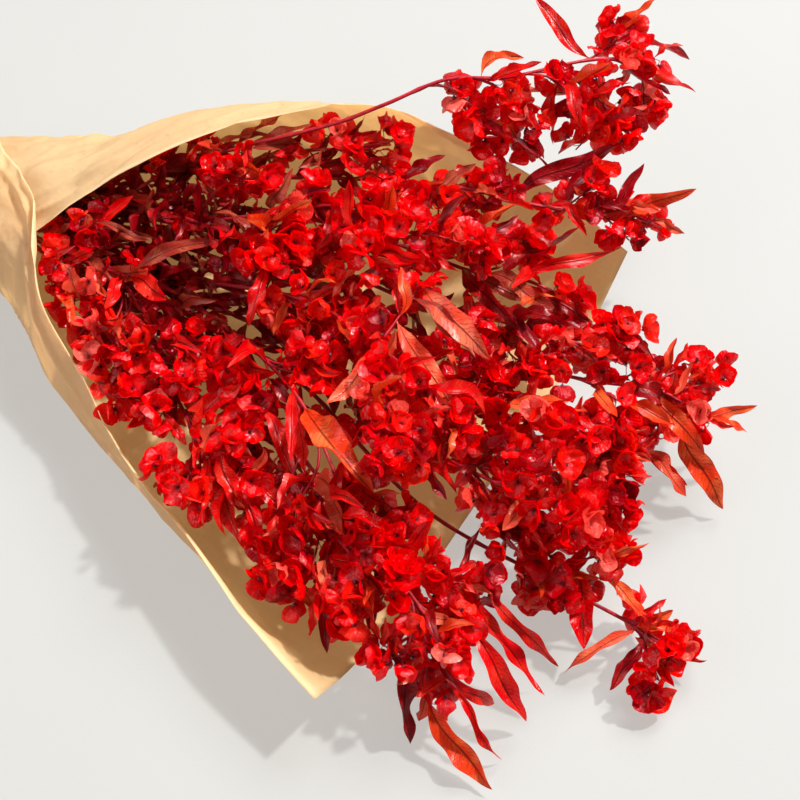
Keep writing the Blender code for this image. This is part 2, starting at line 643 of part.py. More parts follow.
def tube(name, line, radius, tip_radius, collection, sides=4):
    """A closed tapering tube along a line of points."""
    curve = bpy.data.curves.new(name, "CURVE")
    curve.dimensions = "3D"
    curve.bevel_depth = 1.0
    curve.bevel_resolution = sides // 2 - 2
    curve.use_fill_caps = True
    spline = curve.splines.new("POLY")
    spline.points.add(len(line) - 1)
    for number, (point, centre) in enumerate(zip(spline.points, line)):
        point.co = (*centre, 1)
        point.radius = radius + (tip_radius - radius) * number / (len(line) - 1)
    guide = bpy.data.objects.new(name + "_guide", curve)
    collection.objects.link(guide)
    bpy.context.view_layer.update()
    mesh = bpy.data.meshes.new_from_object(guide.evaluated_get(bpy.context.evaluated_depsgraph_get()))
    weld(mesh)
    piece = bpy.data.objects.new(name, mesh)
    piece.matrix_world = guide.matrix_world
    collection.objects.link(piece)
    bpy.data.objects.remove(guide)
    return piece


def weld(mesh):
    """Welds a tube's caps on and turns its faces outwards."""
    cage = bmesh.new()
    cage.from_mesh(mesh)
    bmesh.ops.remove_doubles(cage, verts=cage.verts, dist=0.00001)
    bmesh.ops.triangulate(cage, faces=cage.faces)
    bmesh.ops.recalc_face_normals(cage, faces=cage.faces)
    cage.to_mesh(mesh)
    cage.free()


def make_paper(collection):
    """One sheet rolled into an open cone, with its thickness on the inside of the modelled face."""
    points = []
    for x, section in PAPER_SECTIONS:
        outline = [Vector((x, *p)) * MM for p in section]
        if len(outline) < PAPER_COLUMNS:
            outline = smooth_line(outline, steps=PAPER_STEPS)
        points += [shaped_paper_point(p, column) for column, p in enumerate(outline)]
    faces = []
    for r in range(len(PAPER_SECTIONS) - 1):
        for c in range(PAPER_COLUMNS - 1):
            a = r * PAPER_COLUMNS + c
            faces += split_quad(points, a, a + 1, a + PAPER_COLUMNS + 1, a + PAPER_COLUMNS)
    paper = mesh_object("paper_wrap", points, faces, collection)
    thicken = paper.modifiers.new("thickness", "SOLIDIFY")
    thicken.thickness = PAPER_THICKNESS
    thicken.offset = 1
    return paper


def split_quad(points, a, b, c, d):
    """Two triangles for a four-sided face, split along its shorter diagonal."""
    if (points[a] - points[c]).length < (points[b] - points[d]).length:
        return [(a, b, c), (a, c, d)]
    return [(a, b, d), (b, c, d)]


def shaped_paper_point(point, column):
    """A point of the sheet, pleated near the neck and never under the table's level."""
    deep = min(max((PLEATED_TO_X - point.x) / PLEAT_FADE, 0), 1) * PLEAT_DEPTH
    middle = Vector((point.x, 0, NECK_Z))
    pleated = point + (point - middle).normalized() * (deep if column % 2 else -deep)
    pleated.z = max(pleated.z, 0)
    return pleated


def make_tie(collection):
    """Twine wound round the neck, with a small knot on top and two short ends."""
    steps = TWINE_TURNS * TWINE_POINTS_PER_TURN
    helix = []
    for i in range(steps + 1):
        angle = math.pi / 2 + math.tau * i / TWINE_POINTS_PER_TURN
        x = NECK_X + TWINE_PITCH * (i / TWINE_POINTS_PER_TURN - TWINE_TURNS / 2)
        around = Vector((0, math.cos(angle), math.sin(angle))) * TWINE_LOOP_RADIUS
        helix.append(Vector((x, 0, NECK_Z)) + around)
    tie = tube("neck_tie", helix, TWINE_RADIUS, TWINE_RADIUS, collection)
    pieces = new_collection("knot_pieces")
    top = NECK_Z + TWINE_LOOP_RADIUS
    bpy.ops.mesh.primitive_torus_add(
        major_segments=8,
        minor_segments=5,
        major_radius=KNOT_RADIUS,
        minor_radius=TWINE_RADIUS,
        location=(NECK_X, 0, top + TWINE_RADIUS),
    )
    loop = bpy.context.object
    for owner in loop.users_collection:
        owner.objects.unlink(loop)
    pieces.objects.link(loop)
    for side in (-1, 1):
        end = []
        for along, out, up in KNOT_END:
            way = Vector((side * along * KNOT_RADIUS, side * out * KNOT_RADIUS, up * TWINE_RADIUS))
            end.append(Vector((NECK_X, 0, top)) + way)
        tube("knot_end", end, TWINE_RADIUS, TWINE_RADIUS, pieces)
    join(tie, pieces)
    return tie


def paint(piece, colour, roughness):
    """Gives an object its own Principled material."""
    material = bpy.data.materials.new(piece.name)
    material.use_nodes = True
    shader = material.node_tree.nodes["Principled BSDF"]
    shader.inputs["Base Color"].default_value = (*colour, 1)
    shader.inputs["Roughness"].default_value = roughness
    shader.inputs["Metallic"].default_value = 0.0
    piece.data.materials.clear()
    piece.data.materials.append(material)


def new_collection(name):
    collection = bpy.data.collections.new(name)
    bpy.context.scene.collection.children.link(collection)
    return collection


def taken_space(piece):
    """An object's evaluated points and faces."""
    bpy.context.view_layer.update()
    shown = piece.evaluated_get(bpy.context.evaluated_depsgraph_get())
    mesh = bpy.data.meshes.new_from_object(shown)
    points = [v.co.copy() for v in mesh.vertices]
    faces = [tuple(p.vertices) for p in mesh.polygons]
    bpy.data.meshes.remove(mesh)
    return points, faces


def main():
    for old in list(bpy.data.objects):
        bpy.data.objects.remove(old)
    bunch = new_collection("preserved_butterfly_flower")
    space = Space()
    paper = make_paper(bunch)
    paint(paper, PAPER_COLOUR, 0.8)
    space.add("paper_wrap", *taken_space(paper))
    tie = make_tie(bunch)
    paint(tie, TWINE_COLOUR, 0.9)
    space.add("neck_tie", *taken_space(tie))
    for spray in make_sprays(bunch, space):
        paint(spray, FLOWER_COLOUR, 0.4)


main()
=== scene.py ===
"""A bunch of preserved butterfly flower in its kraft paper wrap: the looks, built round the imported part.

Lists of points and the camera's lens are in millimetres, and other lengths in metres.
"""

import itertools
import math
import random

import bpy
import numpy as np
from mathutils import Matrix, Vector, noise
from mathutils.bvhtree import BVHTree


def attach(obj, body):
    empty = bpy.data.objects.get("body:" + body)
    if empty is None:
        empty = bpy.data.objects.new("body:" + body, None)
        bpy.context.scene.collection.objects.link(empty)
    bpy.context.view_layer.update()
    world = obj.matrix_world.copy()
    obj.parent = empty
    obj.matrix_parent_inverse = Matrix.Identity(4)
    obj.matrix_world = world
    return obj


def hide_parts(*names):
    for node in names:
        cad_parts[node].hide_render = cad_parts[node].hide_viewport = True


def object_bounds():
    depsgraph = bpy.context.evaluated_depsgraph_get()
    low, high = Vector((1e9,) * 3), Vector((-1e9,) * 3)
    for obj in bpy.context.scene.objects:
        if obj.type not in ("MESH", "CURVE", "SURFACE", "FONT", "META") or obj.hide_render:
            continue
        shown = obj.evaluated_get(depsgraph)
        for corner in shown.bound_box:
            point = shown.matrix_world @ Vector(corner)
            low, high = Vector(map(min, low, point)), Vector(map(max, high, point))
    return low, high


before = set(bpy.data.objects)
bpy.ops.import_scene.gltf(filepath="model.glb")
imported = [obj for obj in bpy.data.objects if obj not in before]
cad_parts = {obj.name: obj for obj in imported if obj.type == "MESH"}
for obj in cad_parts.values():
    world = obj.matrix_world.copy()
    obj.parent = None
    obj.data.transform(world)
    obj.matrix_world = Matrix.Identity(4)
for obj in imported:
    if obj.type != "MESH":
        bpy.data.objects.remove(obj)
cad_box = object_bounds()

MM = 0.001

# The bundle of stems at the tied neck, how it fans out, and how branchlets leave it, as in the part.
NECK_X = -0.420
NECK_Z = 0.0225
SLOT_PITCH = 0.0039
SLOT_ROW_PITCH = 0.0029
CUT_END_X = -0.478
CUT_END_SPREAD = 0.014
FAN_START_X = -0.395
FAN_SHARES = (0.35, 0.75)
BRANCH_OVERRUN = 0.007
BRANCH_LEAN = 1.1
BRANCH_SETBACK = 0.008
BRANCH_AHEAD = 0.4
GOLDEN_TURN = 2.4  # radians

# The wood: how closely its line is followed, its radii and sides, and the joints that swell it.
WOOD_STEP = 0.007
STEM_RADII = (0.0019, 0.0011)
BRANCH_RADII = (0.0010, 0.0005)
STALK_RADIUS = 0.00030
NODE_SPACING = 0.024
NODE_SWELL = 0.28
NODE_WIDTH = 0.012
STEM_SIDES = 8
BRANCH_SIDES = 6
STALK_SIDES = 4
STEM_SHADE = 0.3

# The paper sheet. Its roll's start and sweep are in degrees.
PAPER_COLUMNS = 22
PAPER_STEPS = 3
PAPER_THICKNESS = 0.0004
PAPER_FINE_ACROSS = 9
PAPER_FINE_ALONG = 15
ROLL_START = 150
ROLL_SWEEP = 480

# The twine round the neck. A strand's offset and radius are in twine radii.
TWINE_RADIUS = 0.0014
TWINE_TURNS = 3
TWINE_PITCH = 0.0030
TWINE_LOOP_RADIUS = 0.0205
KNOT_RADIUS = 0.0034
TWINE_LAY = 0.0048
TWINE_STEP = 0.0006
STRAND_OFFSET = 0.46
STRAND_RADIUS = 0.52
STRAND_SIDES = 6
COIL_POINTS = 90
KNOT_POINTS = 40
# One loose end of the knot, in knot radii along and across, and in twine radii up.
TWINE_END = [(0.0, -0.6, 1.0), (0.4, 1.0, 1.4), (1.0, 2.8, 1.0), (1.6, 4.4, -1.4)]

# The sheet's relief. The first four pairs are waves or cells in a metre, along the sheet and across it.
BROAD_FOLDS = (7, 13)
CREASES = (11, 27)
SMALL_CREASES = (34, 46)
FACETS = (42, 36)
CREASE_SHARPNESS = 2.4
# How far a form stands out, and how much further where the wrap is narrow.
BROAD_LIFT = (0.0018, 0.0012)
CREASE_LIFT = (0.0012, 0.0016)
SMALL_CREASE_LIFT = 0.0005
# Ribs along the narrow part: the turn in radians for a metre across, and for a metre along.
RIB_LIFT = 0.0011
RIBS = 70
RIB_LEAN = 9
RIB_WANDER = 2.2
DENT_HEIGHT = 0.0048
DENT_DEPTH = 0.0012
PLEAT_HEIGHT = 0.0009
PLEATS = 13
FINE_PLEATS = 29
FINE_PLEAT_SHARE = 0.4
PLEATS_UNDER_TIE = 0.45
EDGE_CURL = 0.0028
EDGE_WIDTH = 0.007
RIDGE_HEIGHT = 0.0028
RIDGE_WIDTH = 0.0028
RIDGE_FROM_EDGE = 0.015
RIDGE_WANDER = 0.005
RIDGE_BENDS = 24
# Where along the sheet, how high on it, or how far from the tie a form begins and ends to change.
FOLDS_SET_IN = (-0.375, -0.31)
FOLDS_RISE = (0.004, 0.03)
FOLDS_LEAST = 0.35
NARROW_FADE = (-0.30, -0.10)
DENTS_SET_IN = (-0.40, -0.33)
DENTS_FADE = (-0.27, -0.20)
DENTS_RISE = (0.02, 0.05)
PLEATS_FADE = (-0.385, -0.27)
PLEATS_TIED = (0.008, 0.035)
PLEATS_RISE = (-0.001, 0.012)
EDGE_SET_IN = (-0.36, -0.30)
RIDGE_SET_IN = (-0.40, -0.34)
RIDGE_FADE = (-0.26, -0.08)

# Leaves: their grids, and the spans their shapes are drawn from. Wildness makes a leaf curl and twist more.
TONES = ["dark", "red", "orange", "brown", "salmon"]
LEAF_ROWS = 27
LEAF_COLUMNS = 7
LEAF_WILDNESS = 1.45
LEAF_TRIES = 9
LEAF_TRY_SHRINK = 0.04
LEAF_STALK = 0.05
LEAF_LEAST_HALF = 0.0005
# The leaf's outline: its fullness, and how fast it widens from its root and narrows to its tip.
LEAF_OUTLINE = (2.12, 0.72, 0.82)
LEAF_EDGE_WAVE = 0.06
LEAF_EDGE_WAVES = (14, 26)
LEAF_RUFFLES = (9, 17)
LEAF_LEANS = ((-0.4, 0.4), (-0.6, 0.2))
SMALL_LEANS = ((-0.7, 0.7), (-0.8, 0.4))
SMALL_AHEAD = 0.9
SMALL_UP = 0.35
LEAF_ARCH = (-0.04, 0.12)
LEAF_CURL = (-0.5, 0.9)
LEAF_CURL_FROM = 0.72
LEAF_SWAY = (-0.07, 0.07)
LEAF_TWIST = (-0.7, 0.7)
LEAF_TIP_TWIST = (-1.4, 1.4)
LEAF_TIP_FROM = 0.6
LEAF_RUFFLE = (0.10, 0.24)
LEAF_FOLD = (0.12, 0.5)
LEAF_SHOWN = slice(5, -3)
SMALL_ROWS = 15
SMALL_COLUMNS = 5
SMALL_WILDNESS = 2.4
SMALL_TRIES = 5
SMALL_LEAST = 0.018
SMALL_MOST = 0.044
SMALL_MOST_AT_MOUTH = 0.028
SMALL_MOUTH_X = 0.06
SMALL_SLENDERNESS = (0.25, 0.38)
SMALL_SHOWN = slice(2, None)
# A tone that is listed more often is drawn more often.
SMALL_TONES = ["dark"] + ["red"] * 5 + ["orange", "salmon"]
# Leaves inside the bunch are drawn mostly dark: painted shade, as the inside lies in shade.
INNER_PAINTED_SHADE_TONES = ["dark"] * 4 + ["brown"]

# Capsules. Openness is a wing's turn out of the axis's plane and its rise, each from least to most.
# It and a wing's spread are in degrees.
CAPSULE_KINDS = 16
OPENNESS = [((65, 100), (10, 40)), ((60, 95), (25, 55)), ((70, 110), (30, 70)), ((0, 40), (-5, 20))]
WING_RINGS = 6
WING_SPOKES = 12
WING_REACH = 0.0114
WING_SPREAD = 82
WING_CUP = (0.5, 1.3)
WING_CURL = (-0.10, 0.45)
WING_RIPPLE = (0.06, 0.15)
WING_CRINKLE = 0.0003
WING_SIZES = (0.86, 1.12)
WING_LEAST = 0.16
WING_ROUNDNESS = (0.52, 0.80)
WING_EDGE_WAVE = 0.05
SEED_RADIUS = 0.0011
SEED_LENGTH = 0.0030
SEED_LOBES = 0.30

# The room in the bunch: how far out of the part's box it goes, and the gaps kept in it.
PAST_LOW = (0.012, 0.010, 0.0)
PAST_HIGH = (0.012, 0.010, 0.003)
CELL = 0.012
CAPSULE_BELOW = 0.0116
CAPSULE_ABOVE = 0.009
CAPSULE_GAP = 0.0096
CAPSULE_GAP_EASE = 0.0002
CAPSULE_TO_SHEET = 0.008
CAPSULE_TO_SHEET_AT_NECK = 0.0125
NECK_END_X = -0.24
LEAF_GAP = 0.0090
OVER_LEAF = 0.008
LEAF_TO_TABLE = 0.0005
LEAF_TO_SHEET = 0.0012
NEAR_EDGE_GAP = 0.006

# Clusters at the heads of stems and branchlets, and what grows along the stems inside the bunch.
CLUSTER = 11
CLUSTERS = {"spray_01": 8, "spray_02": 8, "spray_10": 8, "spray_11": 8, "spray_14": 10, "spray_21": 6}
CLUSTER_SPREAD = (-0.022, 0.004)
CAPSULE_TRIES = 14
CAPSULE_SIZES = (0.86, 1.18)
CAPSULE_SEAT = 0.003
SEAT_TURN = (0, 1.2)
SEAT_AHEAD = (0.0, 1.1)
SEAT_UP = 0.25
AXIS_SCATTER = 0.6
STALK_LENGTHS = (0.002, 0.011)
STALK_OVERRUN = 0.002
STALK_BEND = 0.3
SMALL_LEAVES = 2
SMALL_LEAVES_FROM = -0.03
INNER_STEP = 0.015
INNER_LEAVES = 2
INNER_CAPSULE_STEP = 4
# Capsules inside the bunch take only the darker hues: painted shade, as the inside lies in shade.
INNER_PAINTED_SHADE_BRIGHTEST = 0.35
INNER_FROM = -0.330
INNER_TO = -0.100
INNER_TO_LOW = {"spray_10": 0.020, "spray_12": 0.050, "spray_13": 0.040, "spray_20": 0.100, "spray_21": 0.060}
INNER_MOST = {"spray_01": 7}

# Colours, as red, green and blue. A pair is a surface's two colours; hues are stops along a ramp.
WING_HUES = [
    (0.0, (0.34, 0.0, 0.006)),
    (0.20, (0.80, 0.0, 0.003)),
    (0.78, (0.96, 0.0, 0.0)),
    (0.92, (0.96, 0.02, 0.006)),
    (1.0, (0.96, 0.17, 0.13)),
]
WING_RAYS = 40.0
WING_RAY_RED = (0.42, 0.0, 0.004)
WING_ROOT_RED = (0.20, 0.0, 0.008)
WING_PALE_BLOTCH = (0.96, 0.12, 0.07)
WING_DARK_BLOTCH = (0.36, 0.0, 0.006)
SEED_COLOURS = ((0.16, 0.002, 0.010), (0.05, 0.001, 0.006))
LEAF_COLOURS = {
    "dark": ((0.26, 0.0, 0.004), (0.42, 0.008, 0.008)),
    "red": ((0.76, 0.0, 0.002), (0.88, 0.03, 0.015)),
    "orange": ((0.84, 0.04, 0.006), (0.90, 0.15, 0.04)),
    "brown": ((0.40, 0.030, 0.018), (0.54, 0.12, 0.06)),
    "salmon": ((0.86, 0.07, 0.03), (0.90, 0.20, 0.10)),
}
LEAF_VEINS = 118.0
LEAF_VEIN_LEAN = 13.0
# A wood's name, its two colours, and how fine its streaks are; and the woods' places in the list.
BARK, STALK, CUT_END = range(3)
WOODS = [
    ("stem", (0.24, 0.003, 0.012), (0.42, 0.008, 0.018), 260.0),
    ("stalk", (0.25, 0.002, 0.010), (0.36, 0.004, 0.014), 500.0),
    ("cut_end", (0.45, 0.22, 0.12), (0.62, 0.40, 0.25), 900.0),
]
KRAFT_COLOURS = ((0.67, 0.515, 0.30), (0.76, 0.60, 0.37))
KRAFT_FIBRE = (0.46, 0.30, 0.14)
KRAFT_PALE_PULP = (0.78, 0.62, 0.40)
KRAFT_DARK_PULP = (0.48, 0.29, 0.12)
KRAFT_RIM_AND_HIGHLIGHT = (0.93, 0.80, 0.56)
KRAFT_GLOW = (1.0, 0.79, 0.49, 1)
FIBRE_SCALE = (90.0, 900.0, 900.0)
TWINE_COLOURS = ((0.24, 0.15, 0.075), (0.55, 0.41, 0.24))
TABLE_COLOURS = ((0.142, 0.151, 0.153), (0.148, 0.157, 0.159))
TABLE_LIGHT = (1.0, 0.95, 0.895, 1)

# The camera at the photograph's angle, the lights and the table.
CAMERA_LENS = 78
CAMERA_SENSOR = 36
CAMERA_NEAR = 0.01
CAMERA_AZIMUTH = 32
CAMERA_ELEVATION = 58
CAMERA_DISTANCE = 1.143
CAMERA_TARGET = (0, -0.00933, 0.050)
# A light's name, kind, energy, colour, place, the side that it shines from, and its width.
LIGHTS = [
    ("sun", "SUN", 4.3, (1.0, 0.965, 0.91), (0, 0, 0), (0.33, 0.60, 1.0), {"angle": math.radians(3.5)}),
    ("window", "AREA", 42, (1.0, 0.99, 0.97), (0.1, 1.1, 1.5), (0.1, 1.1, 1.45), {"size": 0.9}),
    ("fill", "AREA", 32, (1.0, 0.97, 0.93), (-1.1, -1.6, 1.3), (-1.1, -1.6, 1.25), {"size": 1.6}),
]
SKY_COLOUR = (0.97, 0.98, 1.0, 1)
SKY_STRENGTH = 0.17
TABLE_REACH = 30.0
TABLE_Z = -0.0003


def spiral(start_radius, end_radius, height):
    """A cross-section of the sheet where it is rolled round the stems, as points (y, z)."""
    points = []
    for i in range(PAPER_COLUMNS):
        share = i / (PAPER_COLUMNS - 1)
        angle = math.radians(ROLL_START - ROLL_SWEEP * share)
        radius = start_radius + (end_radius - start_radius) * share
        points.append((radius * math.cos(angle), height + radius * math.sin(angle)))
    return points


# Cross-sections of the sheet from its free far edge, down the far side, under the bunch, up the near side
# and round to its free near edge: x, then points (y, z).
PAPER_SECTIONS = [
    (-465, spiral(20, 26, 27)),
    (-446, spiral(17, 21, 23.5)),
    (-427, spiral(13.7, 17.6, 22.5)),
    (-413, spiral(13.7, 17.6, 22.5)),
    (-400, spiral(17.5, 22.5, 23.5)),
    (-375, [(-27, 43), (5, 57), (34, 34), (18, 2.5), (-16, 2.5), (-37, 22), (-20, 58), (28, 58)]),
    (-335, [(-44, 50), (0, 67), (53, 44), (28, 1), (-25, 1), (-55, 20), (-42, 62), (3, 78)]),
    (-285, [(-46, 66), (12, 84), (74, 50), (40, 0), (-35, 0), (-70, 16), (-60, 60), (-22, 88)]),
    (-235, [(28, 103), (84, 98), (104, 55), (60, 0), (-50, 0), (-90, 14), (-99, 44), (-80, 78)]),
    (-185, [(93, 113), (126, 99), (124, 46), (75, 0), (-65, 0), (-114, 11), (-121, 36), (-106, 63)]),
    (-120, [(143, 121), (158, 95), (150, 42), (100, 0), (-90, 0), (-134, 9), (-146, 33), (-144, 60)]),
    (-60, [(164, 101), (171, 74), (155, 32), (110, 0), (-105, 0), (-151, 9), (-165, 32), (-166, 60)]),
    (5, [(182, 72), (171, 48), (145, 19), (105, 0), (-115, 0), (-160, 9), (-183, 31), (-193, 60)]),
    (70, [(178, 50), (150, 28), (120, 9), (85, 0), (-110, 0), (-150, 11), (-186, 32), (-213, 55)]),
]

